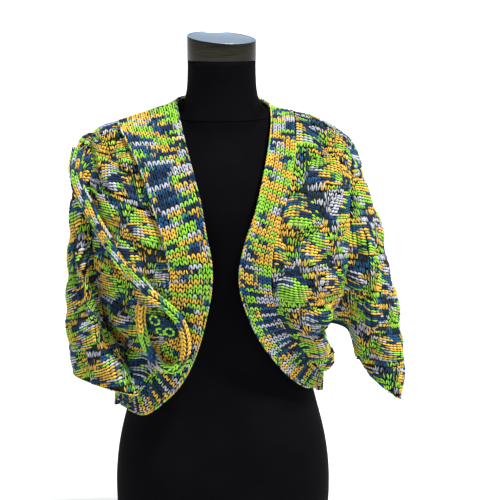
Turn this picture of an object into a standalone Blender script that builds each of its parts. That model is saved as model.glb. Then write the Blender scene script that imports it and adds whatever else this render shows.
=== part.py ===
"""A hand-knit open cardigan with wide elbow-length sleeves, worn by a limbless dress form.

The sizes below are millimetres, and the finished meshes are metres. +Z is up, the front faces -Y,
and the origin is on the surface the form stands on, under its middle. Left and right are the
wearer's. The left of the garment is at +X.
"""

import math

import bpy
import numpy as np
from mathutils import Vector
from mathutils.bvhtree import BVHTree

MM = 0.001

# Driving sizes of the garment
WALL = 4.5
SEAM_GAP = 0.3
BAND_WALL = 6.0
LOBE_HEIGHT = 4.0
LOBE_WIDTH = 40.0
LOBE_TALL = 45.0
# How much of its place in the pattern a lobe's dome fills, across and up
LOBE_REACH = 0.46
# How far a fold runs on past its ends, in half widths
FOLD_TAPER = 1.2

# Driving sizes of the tie
STRAP_WIDTH = 20.0
STRAP_THICK = 9.0
CORD_THICK = 14.0
LEAF_LENGTH = 56.0
LEAF_WIDTH = 34.0
LEAF_THICK = 7.0

# Driving sizes of the dress form
CAP_WIDTH = 109.0
CAP_HEIGHT = 36.0
CAP_DEPTH = 96.0
NECK_TOP = 838.0
FORM_SIDES = 40

# Grid counts: steps between two sections, and columns across each piece
ROW_STEPS = 2
BAND_COLUMNS = 5
PANEL_COLUMNS = 8
NECK_COLUMNS = 12
RING_STEPS = 1
UNDERARM_STATION = 3
TIE_STEPS = 2
TIE_SIDES = 8

# How far the tie and the leaf may be moved, front to back, to lie on the knitting, and a
# plane well in front of everything, from which their places are looked for
SETTLE_REACH = 20.0
LOOK_FROM = -400.0

# Front sections, from the hem corner at the side up to the shoulder.
# edge is the band's free edge, seam is where the band meets the front, belly is how far the
# knitting swells between the seam and the side.
FRONT_COLUMNS = ("edge_x", "edge_y", "edge_z", "seam_x", "seam_y", "seam_z", "belly")
FRONT_LEFT = (
    (163, -8, 306, 165, -9, 328, 2),
    (133, -62, 322, 151, -52, 353, 9),
    (104, -88, 349, 134, -78, 379, 14),
    (80, -106, 381, 117, -98, 404, 17),
    (59, -118, 414, 101, -110, 428, 20),
    (43, -126, 450, 87, -120, 458, 22),
    (31, -134, 491, 79, -130, 491, 22),
    (30, -142, 530, 79, -138, 529, 20),
    (40, -148, 574, 83, -142, 569, 17),
    (54, -142, 616, 95, -134, 609, 14),
    (65, -118, 662, 108, -112, 655, 12),
    (74, -84, 705, 116, -80, 701, 10),
    (79, -42, 744, 117, -42, 743, 8),
    (78, 0, 763, 115, 0, 758, 7),
)
FRONT_RIGHT = (
    (-169, -12, 280, -167, -14, 309, 3),
    (-126, -74, 279, -134, -66, 312, 6),
    (-91, -94, 306, -116, -84, 341, 9),
    (-65, -108, 336, -102, -100, 370, 12),
    (-46, -118, 372, -92, -112, 400, 14),
    (-33, -126, 409, -84, -122, 430, 15),
    (-23, -134, 449, -80, -132, 464, 15),
    (-15, -142, 492, -78, -140, 497, 15),
    (-14, -148, 537, -77, -145, 536, 14),
    (-22, -150, 581, -81, -146, 574, 12),
    (-31, -140, 632, -98, -132, 624, 11),
    (-44, -112, 677, -119, -106, 676, 10),
    (-60, -62, 727, -148, -56, 721, 8),
    (-73, 0, 772, -166, 0, 742, 3),
)

# Side sections at the same heights: the side seam up to the underarm, then the armhole's front
# and back lines up to the shoulder point. back_y and back_z are on the middle of the back.
SIDE_COLUMNS = ("side_x", "front_y", "back_y", "side_z", "middle_y", "middle_z")
SIDE_LEFT = (
    (154, 12, 12, 341, 122, 340),
    (165, 8, 8, 362, 119, 358),
    (158, 2, 2, 387, 117, 380),
    (156, -2, -2, 413, 116, 406),
    (172, -30, 28, 432, 115, 432),
    (188, -50, 46, 460, 114, 462),
    (196, -64, 60, 495, 114, 494),
    (199, -73, 68, 532, 115, 530),
    (200, -76, 72, 571, 117, 566),
    (201, -73, 70, 610, 118, 602),
    (203, -62, 62, 650, 117, 640),
    (204, -42, 46, 684, 113, 674),
    (205, -20, 24, 704, 108, 700),
    (206, 0, 0, 713, 102, 722),
)
SIDE_RIGHT = (
    (-174, 10, 10, 320, 122, 340),
    (-179, 7, 7, 350, 119, 358),
    (-183, 3, 3, 382, 117, 380),
    (-188, 0, 0, 415, 116, 406),
    (-192, -28, 28, 436, 115, 432),
    (-195, -48, 46, 464, 114, 462),
    (-198, -64, 60, 498, 114, 494),
    (-200, -74, 68, 535, 115, 530),
    (-202, -78, 72, 575, 117, 566),
    (-203, -76, 70, 614, 118, 602),
    (-204, -64, 62, 656, 117, 640),
    (-204, -44, 46, 692, 113, 674),
    (-205, -21, 24, 714, 108, 700),
    (-206, 0, 0, 724, 102, 722),
)

# Sleeve rings after the armhole: top is the outer line, low is the underarm line.
SLEEVE_COLUMNS = ("top_x", "top_y", "top_z", "low_x", "low_y", "low_z", "front", "back")
SLEEVE_LEFT = (
    (218, 0, 684, 181, -3, 412, 76, 70),
    (227, 0, 650, 197, -4, 407, 74, 66),
    (241, -1, 611, 206, -5, 401, 70, 60),
    (254, -2, 568, 212, -6, 394, 65, 54),
    (264, -3, 523, 217, -7, 387, 60, 48),
    (275, -4, 477, 221, -8, 379, 54, 43),
    (285, -5, 430, 225, -9, 370, 48, 38),
    (292, -6, 382, 229, -10, 361, 42, 34),
    (296, -7, 333, 233, -10, 349, 37, 30),
    (292, -8, 289, 240, -10, 330, 32, 27),
)
SLEEVE_RIGHT = (
    (-226, 0, 713, -193, -7, 410, 74, 70),
    (-233, -3, 680, -193, -18, 405, 72, 66),
    (-237, -6, 640, -191, -33, 400, 69, 60),
    (-239, -10, 597, -184, -51, 394, 64, 52),
    (-241, -14, 552, -174, -68, 386, 58, 44),
    (-242, -18, 507, -165, -83, 378, 52, 36),
    (-244, -23, 463, -160, -97, 368, 45, 30),
    (-243, -28, 420, -151, -108, 355, 38, 26),
    (-241, -33, 378, -142, -116, 340, 32, 23),
    (-236, -38, 340, -133, -120, 324, 27, 21),
)

# Neckline behind: the band's free edge and its seam on the back, from the left shoulder
# to the right one.
NECK_EDGE = (
    (78, 0, 763), (70, 32, 770), (44, 58, 778), (0, 70, 781),
    (-44, 58, 779), (-68, 32, 776), (-73, 0, 772),
)
NECK_SEAM = (
    (115, 0, 758), (98, 46, 746), (62, 84, 730), (0, 102, 722),
    (-66, 88, 727), (-124, 50, 737), (-166, 0, 742),
)
# How far the back spreads outwards below the corners of the neckline, and where
NECK_EASE = 24.0
NECK_EASE_AT = 0.45
NECK_EASE_REACH = 0.2
# The part of half the back that lies outside the neckline, how round the back is, and how
# much the top edge shapes the highest sections, from the top one down
BACK_SHOULDER = 0.42
BACK_ROUND = 0.75
TOP_SHAPES = (1.0, 0.85, 0.45, 0.12)
# Which way the knitting faces along the shoulder line, and how much a front faces sideways
SHOULDER_OUT = (0.35, 0.94)
FRONT_TURN = 0.6
# The band along the hem hangs this far down, and rises over some columns to each corner
HEM_BAND_DROP = 46.0
HEM_BAND_FLARE = 3.0
HEM_CORNER_COLUMNS = 12
# Rings over which a sleeve changes from the armhole's outline to its own, and how much
# narrower it is under the arm
SLEEVE_CHANGE = 4
SLEEVE_PINCH = 0.35

# Folds raised in a panel: from and to are shares of the way across and up the panel.
FOLD_COLUMNS = ("from_across", "from_up", "to_across", "to_up", "half_width", "height")
FOLDS = {
    "front_left": (
        (0.28, 0.02, 0.32, 0.30, 17, 10),
        (0.98, 0.08, 0.42, 0.24, 17, 11),
        (0.98, 0.24, 0.52, 0.38, 19, 11),
        (0.90, 0.95, 0.35, 0.55, 22, 6),
        (0.85, 0.50, 0.30, 0.62, 20, -6),
    ),
    "front_right": (
        (0.30, 0.05, 0.30, 0.32, 14, 8),
        (0.92, 0.30, 0.30, 0.38, 18, 7),
        (0.90, 0.92, 0.30, 0.50, 22, 6),
        (0.80, 0.62, 0.25, 0.45, 20, -5),
    ),
    "back": (
        (0.06, 0.10, 0.30, 0.24, 20, 9),
        (0.94, 0.10, 0.70, 0.24, 20, 9),
        (0.10, 0.82, 0.36, 0.42, 24, 7),
        (0.90, 0.82, 0.64, 0.42, 24, 7),
        (0.42, 0.16, 0.47, 0.62, 22, -6),
        (0.60, 0.14, 0.55, 0.58, 22, -6),
    ),
    "sleeve_left": (
        (0.20, 0.02, 0.30, 0.60, 18, 7),
        (0.34, 0.10, 0.42, 0.86, 16, 6),
        (0.72, 0.05, 0.64, 0.70, 20, 7),
        (0.14, 0.40, 0.20, 0.95, 16, -4),
    ),
    "sleeve_right": (
        (0.22, 0.04, 0.30, 0.62, 18, 7),
        (0.36, 0.18, 0.40, 0.88, 15, 6),
        (0.72, 0.05, 0.64, 0.70, 20, 7),
        (0.14, 0.35, 0.22, 0.92, 16, -4),
    ),
}

# Dress form sections, from the base up: half width, depth in front and behind, and the
# half width of the neck that grows out of the shoulders
FORM_COLUMNS = ("height", "half_width", "front", "back", "neck")
FORM = (
    (0, 156, 96, 98, 0),
    (8, 161, 100, 102, 0),
    (70, 175, 106, 110, 0),
    (150, 181, 110, 114, 0),
    (230, 172, 106, 108, 0),
    (300, 150, 96, 94, 0),
    (370, 137, 88, 82, 0),
    (430, 139, 92, 84, 0),
    (500, 149, 108, 92, 0),
    (560, 158, 118, 98, 0),
    (615, 163, 112, 100, 0),
    (665, 171, 92, 92, 40),
    (700, 178, 66, 74, 62),
    (728, 175, 42, 46, 68),
    (737, 165, 33, 34, 68),
    (743.5, 150, 26, 26, 67),
    (748.5, 132, 16, 20, 66),
    (753.5, 112, 8, 18, 64),
    (761, 67, 8, 18, 61),
    (778, 40, 20, 20, 57),
    (805, 40, 20, 20, 54),
    (838, 40, 20, 20, 53.5),
)
NECK_DEPTH = 0.9
NECK_BLEND = 8
CAP_TILT = (math.radians(-9), math.radians(4))
# The cap's edges are rounded: share of its height, share of its width
CAP_LEVELS = ((0.0, 0.97), (0.06, 1.0), (0.9, 1.0), (1.0, 0.975))

# The tie's route seen from the front, across and up: down from the shoulder, then on as a
# rounder cord clockwise about the loop, back to just below where it began
STRAP_ROUTE = (
    (-224, 702), (-229, 674), (-223, 647), (-210, 622), (-195, 597), (-177, 570),
    (-158, 547), (-137, 522), (-120, 505), (-108, 492),
)
LOOP_ROUTE = (
    (-94, 481), (-77, 465), (-62, 446), (-55, 424), (-54, 401), (-60, 380), (-75, 367), (-94, 370),
    (-108, 386), (-117, 408), (-122, 431), (-124, 453), (-122, 471),
)
LEAF_MIDDLE = (-90, 436)
LEAF_TURN = math.radians(-36)
# The leaf's sections, how far the two end ones are from its tips, and how full it is
LEAF_SECTIONS = 9
LEAF_SIDES = 10
LEAF_TIP = 0.04
LEAF_FULLNESS = (0.8, 0.5)

# Colours as linear values, one for each piece, close to the yarn's mean colour there
NAVY = (0.016, 0.075, 0.19)
LIME = (0.30, 0.56, 0.10)
GOLD = (0.60, 0.34, 0.07)
GREY = (0.42, 0.44, 0.52)
MIXED = (0.27, 0.33, 0.17)
JERSEY = (0.006, 0.006, 0.009)
STEEL = (0.35, 0.42, 0.52)


def clear_scene():
    for old in list(bpy.data.objects):
        bpy.data.objects.remove(old, do_unlink=True)


def new_collection(name):
    collection = bpy.data.collections.new(name)
    bpy.context.scene.collection.children.link(collection)
    return collection


def material(name, colour, roughness, metallic=0.0):
    made = bpy.data.materials.new(name)
    made.use_nodes = True
    shader = made.node_tree.nodes["Principled BSDF"]
    shader.inputs["Base Color"].default_value = (*colour, 1.0)
    shader.inputs["Roughness"].default_value = roughness
    shader.inputs["Metallic"].default_value = metallic
    return made


def add_mesh(name, points, faces, finish, collection, smooth=True):
    """One closed body from points in millimetres."""
    mesh = bpy.data.meshes.new(name)
    mesh.from_pydata([tuple(float(c) * MM for c in p) for p in points], [], faces)
    mesh.materials.append(finish)
    if smooth:
        mesh.shade_smooth()
    made = bpy.data.objects.new(name, mesh)
    collection.objects.link(made)
    return made


def smooth_rows(rows, steps):
    """A smooth curve through all the rows, with steps between each two."""
    rows = np.asarray(rows, float)
    ahead = 2 * rows[-1] - rows[-2]
    behind = 2 * rows[0] - rows[1]
    padded = np.concatenate([behind[None], rows, ahead[None]])
    out = []
    for i in range(len(rows) - 1):
        a, b, c, d = padded[i:i + 4]
        for j in range(steps):
            t = j / steps
            out.append(0.5 * (2 * b + (c - a) * t + (2 * a - 5 * b + 4 * c - d) * t ** 2
                              + (3 * b - a - 3 * c + d) * t ** 3))
    out.append(rows[-1])
    return np.array(out)


def unit(v):
    v = np.asarray(v, float)
    return v / np.maximum(np.linalg.norm(v, axis=-1, keepdims=True), 1e-9)


def front_stations(front, side, sign):
    """Band and front points at each section, from the band's free edge to the side."""
    rows = []
    for section, flank in zip(front, side):
        f = dict(zip(FRONT_COLUMNS, section))
        s = dict(zip(SIDE_COLUMNS, flank))
        edge = np.array([f["edge_x"], f["edge_y"], f["edge_z"]], float)
        seam = np.array([f["seam_x"], f["seam_y"], f["seam_z"]], float)
        flank_point = np.array([s["side_x"], s["front_y"], s["side_z"]], float)
        out = unit(np.array([seam[0] * FRONT_TURN, seam[1], 0.0]))
        if section is front[-1]:
            out = np.array([sign * SHOULDER_OUT[0], 0.0, SHOULDER_OUT[1]])
        band = [edge + (seam - edge) * i / BAND_COLUMNS for i in range(BAND_COLUMNS)]
        panel = []
        for i in range(PANEL_COLUMNS + 1):
            t = i / PANEL_COLUMNS
            panel.append(seam + (flank_point - seam) * t + out * f["belly"] * 4 * t * (1 - t))
        rows.append(band + panel)
    return np.array(rows)


def back_stations(left, right, top_row):
    """Back points at each section, from the left side round to the right one."""
    columns = len(top_row)
    shoulder = PANEL_COLUMNS
    middle = (columns - 1) // 2
    across = []
    for c in range(columns):
        if c <= shoulder:
            across.append(1 - BACK_SHOULDER * c / shoulder)
        elif c >= columns - 1 - shoulder:
            across.append(-1 + BACK_SHOULDER * (columns - 1 - c) / shoulder)
        else:
            across.append((1 - BACK_SHOULDER) * (middle - c) / (middle - shoulder))
    rows = []
    stations = len(left)
    for k in range(stations):
        l = dict(zip(SIDE_COLUMNS, left[k]))
        r = dict(zip(SIDE_COLUMNS, right[k]))
        ends = {1: np.array([l["side_x"], l["back_y"], l["side_z"]], float),
                -1: np.array([r["side_x"], r["back_y"], r["side_z"]], float)}
        centre = np.array([0.0, l["middle_y"], l["middle_z"]])
        top_ends = {1: top_row[0], -1: top_row[-1]}
        below_top = stations - 1 - k
        weight = TOP_SHAPES[below_top] if below_top < len(TOP_SHAPES) else 0.0
        row = []
        for c, t in enumerate(across):
            end = ends[1 if t >= 0 else -1]
            turn = abs(t) * math.pi / 2
            plain = np.array([
                end[0] * math.sin(turn),
                end[1] + (centre[1] - end[1]) * max(math.cos(turn), 0.0) ** BACK_ROUND,
                centre[2] + (end[2] - centre[2]) * math.sin(turn) ** 2,
            ])
            moved_end = end - top_ends[1 if t >= 0 else -1]
            moved_middle = centre - top_row[middle]
            shifted = top_row[c] + moved_end * abs(t) + moved_middle * (1 - abs(t))
            point = plain * (1 - weight) + shifted * weight
            spread = math.exp(-((abs(t) - NECK_EASE_AT) / NECK_EASE_REACH) ** 2)
            point[0] += math.copysign(NECK_EASE * 4 * weight * (1 - weight) * spread, t)
            row.append(point)
        rows.append(row)
    return np.array(rows)


def sleeve_grid(armhole, rings, steps):
    """Rings from the armhole down to the cuff. Each starts at the outer line and runs
    down the front, under and up the back."""
    count = len(armhole)
    top0 = armhole[0]
    low0 = armhole[count // 2]
    axis0 = (top0 - low0) / 2
    middle0 = (top0 + low0) / 2
    reach0 = np.linalg.norm(axis0)
    along0 = axis0 / reach0
    depth0 = np.array([0.0, 1.0, 0.0])
    depth0 = unit(depth0 - along0 * along0[1])
    out0 = np.cross(along0, depth0)
    local = [((p - middle0) @ along0 / reach0, (p - middle0) @ depth0, (p - middle0) @ out0)
             for p in armhole]
    table = smooth_rows(rings, steps)
    grid = [armhole]
    for i, ring in enumerate(table):
        r = dict(zip(SLEEVE_COLUMNS, ring))
        top = np.array([r["top_x"], r["top_y"], r["top_z"]])
        low = np.array([r["low_x"], r["low_y"], r["low_z"]])
        axis = (top - low) / 2
        middle = (top + low) / 2
        reach = np.linalg.norm(axis)
        along = axis / reach
        depth = unit(np.array([0.0, 1.0, 0.0]) - along * along[1])
        blend = min(1.0, (i + 1) / SLEEVE_CHANGE)
        row = []
        for j, (a0, d0, o0) in enumerate(local):
            turn = 2 * math.pi * j / count
            side = -r["front"] if j <= count // 2 else -r["back"]
            pinch = 1 - SLEEVE_PINCH * (1 - math.cos(turn)) / 2
            a = a0 * (1 - blend) + math.cos(turn) * blend
            d = d0 * (1 - blend) + side * math.sin(turn) * pinch * blend
            row.append(middle + along * a * reach + depth * d + out0 * o0 * (1 - blend))
        grid.append(np.array(row))
    return np.array(grid)


def distance_across(grid, wrap):
    """Fabric lengths across and up a grid, measured along its rows and columns. On a sleeve
    they run both ways round from its outer line and meet at the seam under the arm."""
    step_across = np.linalg.norm(np.diff(grid, axis=1), axis=2)
    across = np.concatenate([np.zeros((grid.shape[0], 1)), np.cumsum(step_across, axis=1)], axis=1)
    if wrap:
        around = across[:, -1:] + np.linalg.norm(grid[:, -1] - grid[:, 0], axis=1)[:, None]
        across = np.where(across > around / 2, across - around, across)
    else:
        across = across - across[:, -1:] / 2
    step_up = np.linalg.norm(np.diff(grid, axis=0), axis=2)
    up = np.concatenate([np.zeros((1, grid.shape[1])), np.cumsum(step_up, axis=0)], axis=0)
    return across, up


def edge_window(shape, wrap):
    """Zero along a grid's edges, one inside, so that neighbouring pieces still meet."""
    rows, columns = shape
    up = np.minimum(np.arange(rows), np.arange(rows)[::-1])
    window = np.clip(up / 2.0, 0, 1)[:, None] * np.ones(columns)[None]
    if not wrap:
        side = np.minimum(np.arange(columns), np.arange(columns)[::-1])
        window = window * np.clip(side / 2.0, 0, 1)[None]
    return window


def fold_height(grid, folds, wrap):
    """The height that the folds in the table add at each point of a grid."""
    rows, columns = grid.shape[:2]
    across, up = distance_across(grid, wrap)
    total = np.zeros((rows, columns))
    for fold in folds:
        f = dict(zip(FOLD_COLUMNS, fold))
        i0, j0 = f["from_up"] * (rows - 1), f["from_across"] * (columns - 1)
        i1, j1 = f["to_up"] * (rows - 1), f["to_across"] * (columns - 1)
        start = np.array([across[round(i0), round(j0)], up[round(i0), round(j0)]])
        finish = np.array([across[round(i1), round(j1)], up[round(i1), round(j1)]])
        along = finish - start
        length = max(np.linalg.norm(along), 1.0)
        along = along / length
        rel = np.stack([across - start[0], up - start[1]], axis=-1)
        place = rel @ along
        off = rel @ np.array([-along[1], along[0]])
        beyond = np.maximum(np.maximum(-place, place - length), 0)
        taper = np.exp(-(beyond / (FOLD_TAPER * f["half_width"])) ** 2)
        total += f["height"] * np.exp(-(off / f["half_width"]) ** 2) * taper
    return total


def lobe_height(grid, wrap):
    """The knitted fans' domes, staggered row by row."""
    across, up = distance_across(grid, wrap)
    tier = np.floor(up / LOBE_TALL)
    x = across / LOBE_WIDTH + 0.5 * (tier % 2)
    y = up / LOBE_TALL - tier - 0.5
    x = x - np.round(x)
    dome = 1 - (x / LOBE_REACH) ** 2 - (y / LOBE_REACH) ** 2
    return LOBE_HEIGHT * np.sqrt(np.clip(dome, 0, 1))


def outward_normals(grid, wrap):
    """Directions square to a surface, away from the middle of a sleeve or of the body."""
    centre = grid.reshape(-1, 3).mean(axis=0)
    if wrap:
        across = np.roll(grid, -1, axis=1) - np.roll(grid, 1, axis=1)
    else:
        across = np.gradient(grid, axis=1)
        centre[:2] = 0
    normals = unit(np.cross(np.gradient(grid, axis=0), across))
    return normals * np.sign(np.sum((grid - centre) * normals))


class Piece:
    """A knitted piece: its middle surface, which way is out, and where it has seams."""

    def __init__(self, name, grid, wall, seams, finish, wrap=False, lobes=True):
        self.name = name
        self.grid = grid
        self.wall = wall
        self.seams = seams
        self.finish = finish
        self.wrap = wrap
        self.lobes = lobes
        self.window = edge_window(grid.shape[:2], wrap)
        normals = outward_normals(grid, wrap)
        if name in FOLDS:
            height = fold_height(grid, FOLDS[name], wrap) * self.window
            self.grid = grid + normals * height[..., None]
        self.normals = outward_normals(self.grid, wrap)


def key(point):
    return tuple(np.round(point, 2))


def share_normals(pieces):
    """Where pieces share a point, they share the mean of their directions there."""
    total = {}
    for piece in pieces:
        for point, normal in zip(piece.grid.reshape(-1, 3), piece.normals.reshape(-1, 3)):
            total[key(point)] = total.get(key(point), np.zeros(3)) + normal
    for piece in pieces:
        flat = [unit(total[key(point)]) for point in piece.grid.reshape(-1, 3)]
        piece.normals = np.array(flat).reshape(piece.grid.shape)


def open_seams(piece):
    """The grid with half the seam gap taken off each sewn edge, along the knitting."""
    grid = piece.grid.copy()
    edges = {"first_row": (0, 1, 0), "last_row": (-1, -2, 0),
             "first_column": (0, 1, 1), "last_column": (-1, -2, 1)}
    for seam in piece.seams:
        edge, inside, axis = edges[seam]
        rim = np.take(piece.grid, edge, axis=axis)
        toward = np.take(piece.grid, inside, axis=axis) - rim
        normal = np.take(piece.normals, edge, axis=axis)
        toward = unit(toward - normal * np.sum(toward * normal, axis=-1, keepdims=True))
        shift = toward * SEAM_GAP / 2
        if axis == 0:
            grid[edge] += shift
        else:
            grid[:, edge] += shift
    return grid


def build_wall(piece, collection):
    """A wall either side of the piece's middle surface, its relief on the outside only."""
    grid = open_seams(piece)
    rows, columns = grid.shape[:2]
    lift = np.zeros((rows, columns))
    if piece.lobes:
        lift = lobe_height(piece.grid, piece.wrap) * piece.window
    outer = grid + piece.normals * (piece.wall / 2 + lift)[..., None]
    inner = grid - piece.normals * piece.wall / 2
    points = np.concatenate([outer.reshape(-1, 3), inner.reshape(-1, 3)])
    shift = rows * columns
    last = columns if piece.wrap else columns - 1
    faces = []

    def rim(a, b):
        """Two triangles that close the wall's edge, cut the same way on both sides of a seam."""
        if key(piece.grid.reshape(-1, 3)[a]) < key(piece.grid.reshape(-1, 3)[b]):
            faces.extend([(b, a, shift + b), (a, shift + a, shift + b)])
        else:
            faces.extend([(b, a, shift + a), (b, shift + a, shift + b)])

    for i in range(rows - 1):
        for j in range(last):
            a = i * columns + j
            b = i * columns + (j + 1) % columns
            faces.append((a, b, b + columns, a + columns))
            faces.append((shift + a + columns, shift + b + columns, shift + b, shift + a))
    top = (rows - 1) * columns
    for j in range(last):
        rim(j, (j + 1) % columns)
        rim(top + (j + 1) % columns, top + j)
    if not piece.wrap:
        for i in range(rows - 1):
            a = i * columns
            rim(a + columns, a)
            rim(a + columns - 1, a + 2 * columns - 1)
    if volume(points, faces) < 0:
        faces = [tuple(reversed(face)) for face in faces]
    return add_mesh(piece.name, points, faces, piece.finish, collection)


def volume(points, faces):
    total = 0.0
    for face in faces:
        for i in range(1, len(face) - 1):
            total += points[face[0]] @ np.cross(points[face[i]], points[face[i + 1]])
    return total


def closed_rings(rings):
    """Points and faces of a closed body through rings of equal count, a fan at each end."""
    count = len(rings[0])
    points = [p for ring in rings for p in ring]
    faces = []
    for i in range(len(rings) - 1):
        for j in range(count):
            a = i * count + j
            b = i * count + (j + 1) % count
            faces.append((a, b, b + count, a + count))
    for ring_index in (0, len(rings) - 1):
        middle = len(points)
        points.append(np.mean(rings[ring_index], axis=0))
        start = ring_index * count
        for j in range(count):
            corner = (start + j, start + (j + 1) % count, middle)
            faces.append(corner if ring_index else corner[::-1])
    points = np.array(points)
    if volume(points, faces) < 0:
        faces = [tuple(reversed(face)) for face in faces]
    return points, faces


def loft(name, rings, finish, collection):
    points, faces = closed_rings(rings)
    return add_mesh(name, points, faces, finish, collection)


def sweep_rings(path, facing, half_widths, half_thicks, sides):
    """Rings of a flat cord along a path, each with its flat side facing its own way."""
    path = np.asarray(path, float)
    ahead = unit(np.gradient(path, axis=0))
    rings = []
    for p, t, out, w, h in zip(path, ahead, facing, half_widths, half_thicks):
        face = unit(out - t * (out @ t))
        side = np.cross(t, face)
        ring = [p + side * w * math.cos(a) + face * h * math.sin(a)
                for a in (2 * math.pi * i / sides for i in range(sides))]
        rings.append(np.array(ring))
    return rings


def surface_finder(objects):
    """A search tree over the outsides of the pieces that the tie lies on."""
    points = []
    faces = []
    for made in objects:
        base = len(points)
        points.extend(v.co / MM for v in made.data.vertices)
        faces.extend([tuple(base + i for i in f.vertices) for f in made.data.polygons])
    return BVHTree.FromPolygons(points, faces)


def lay_on(tree, route, half_widths, half_thicks):
    """A route seen from the front, laid on the surfaces under it. Gives its middle line and
    which way it faces."""
    bases = []
    facing = []
    for (x, z), w, h in zip(route, half_widths, half_thicks):
        hits = []
        for dx in (-w, -w / 2, 0, w / 2, w):
            for dz in (-w, 0, w):
                start = Vector((x + dx, LOOK_FROM, z + dz))
                place, normal = tree.ray_cast(start, Vector((0, 1, 0)))[:2]
                if place is not None:
                    hits.append((np.array(place), np.array(normal)))
        out = unit(np.mean([h[1] for h in hits], axis=0))
        base = np.array(tree.ray_cast(Vector((x, LOOK_FROM, z)), Vector((0, 1, 0)))[0])
        near = [(place - base) @ out for place, _ in hits if np.linalg.norm(place - base) < 2 * w]
        bases.append(base + out * (max(near) + h + SEAM_GAP))
        facing.append(out)
    bases = np.array(bases)
    facing = np.array(facing)
    facing[1:-1] = unit(facing[:-2] + 2 * facing[1:-1] + facing[2:])
    softened = bases.copy()
    softened[1:-1] = (bases[:-2] + 2 * bases[1:-1] + bases[2:]) / 4
    lift = np.maximum(np.sum((bases - softened) * facing, axis=1), 0)
    return softened + facing * lift[:, None], facing


def settle(rings, tree):
    """Rings moved straight back in small steps, as far as they stay clear of what is behind."""
    points, faces = closed_rings(rings)
    shift = -SETTLE_REACH
    while shift < SETTLE_REACH:
        moved = [Vector(p) + Vector((0.0, shift + SEAM_GAP, 0.0)) for p in points]
        if tree.overlap(BVHTree.FromPolygons(moved, faces)):
            break
        shift += SEAM_GAP
    return [ring + np.array([0.0, shift - SEAM_GAP, 0.0]) for ring in rings]


def build_form(collection):
    jersey = material("jersey", JERSEY, 0.9)
    steel = material("steel", STEEL, 0.35, 0.9)
    table = [dict(zip(FORM_COLUMNS, row)) for row in FORM]
    rings = []
    for row in table:
        ring = []
        for i in range(FORM_SIDES):
            a = 2 * math.pi * i / FORM_SIDES
            depth = row["front"] if math.sin(a) < 0 else row["back"]
            body = 1 / math.hypot(math.cos(a) / row["half_width"], math.sin(a) / depth)
            neck = row["neck"] / math.hypot(math.cos(a), math.sin(a) / NECK_DEPTH)
            reach = (body ** NECK_BLEND + neck ** NECK_BLEND) ** (1 / NECK_BLEND)
            ring.append(np.array([reach * math.cos(a), reach * math.sin(a), row["height"]]))
        rings.append(np.array(ring))
    loft("form_torso", rings, jersey, collection)
    cap = []
    for share, scale in CAP_LEVELS:
        ring = []
        for i in range(FORM_SIDES):
            a = 2 * math.pi * i / FORM_SIDES
            x = CAP_WIDTH / 2 * scale * math.cos(a)
            y = CAP_DEPTH / 2 * scale * math.sin(a)
            tilt = share * (math.tan(CAP_TILT[0]) * -y - math.tan(CAP_TILT[1]) * x)
            ring.append(np.array([x, y, NECK_TOP + SEAM_GAP + CAP_HEIGHT * share + tilt]))
        cap.append(np.array(ring))
    loft("form_cap", cap, steel, collection)


def hem_grid(fronts, back):
    """The band along the hem, from the left front's corner round the back to the right one."""
    left = fronts["left"][0]
    right = fronts["right"][0]
    seam_line = np.concatenate([left[BAND_COLUMNS:-1], back[0], right[BAND_COLUMNS:-1][::-1]])
    last = len(seam_line) - 1
    grid = []
    for i, seam in enumerate(seam_line):
        out = unit(np.array([seam[0], seam[1], 0.0]))
        drop = seam + out * HEM_BAND_FLARE - np.array([0, 0, HEM_BAND_DROP])
        front = left if i < last / 2 else right
        corner = front[0] - front[BAND_COLUMNS]
        ease = max(0.0, 1 - min(i, last - i) / HEM_CORNER_COLUMNS) ** 2
        drop = drop * (1 - ease) + (seam + corner) * ease
        grid.append([drop + (seam - drop) * j / BAND_COLUMNS for j in range(BAND_COLUMNS + 1)])
    return np.array(grid)


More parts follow.
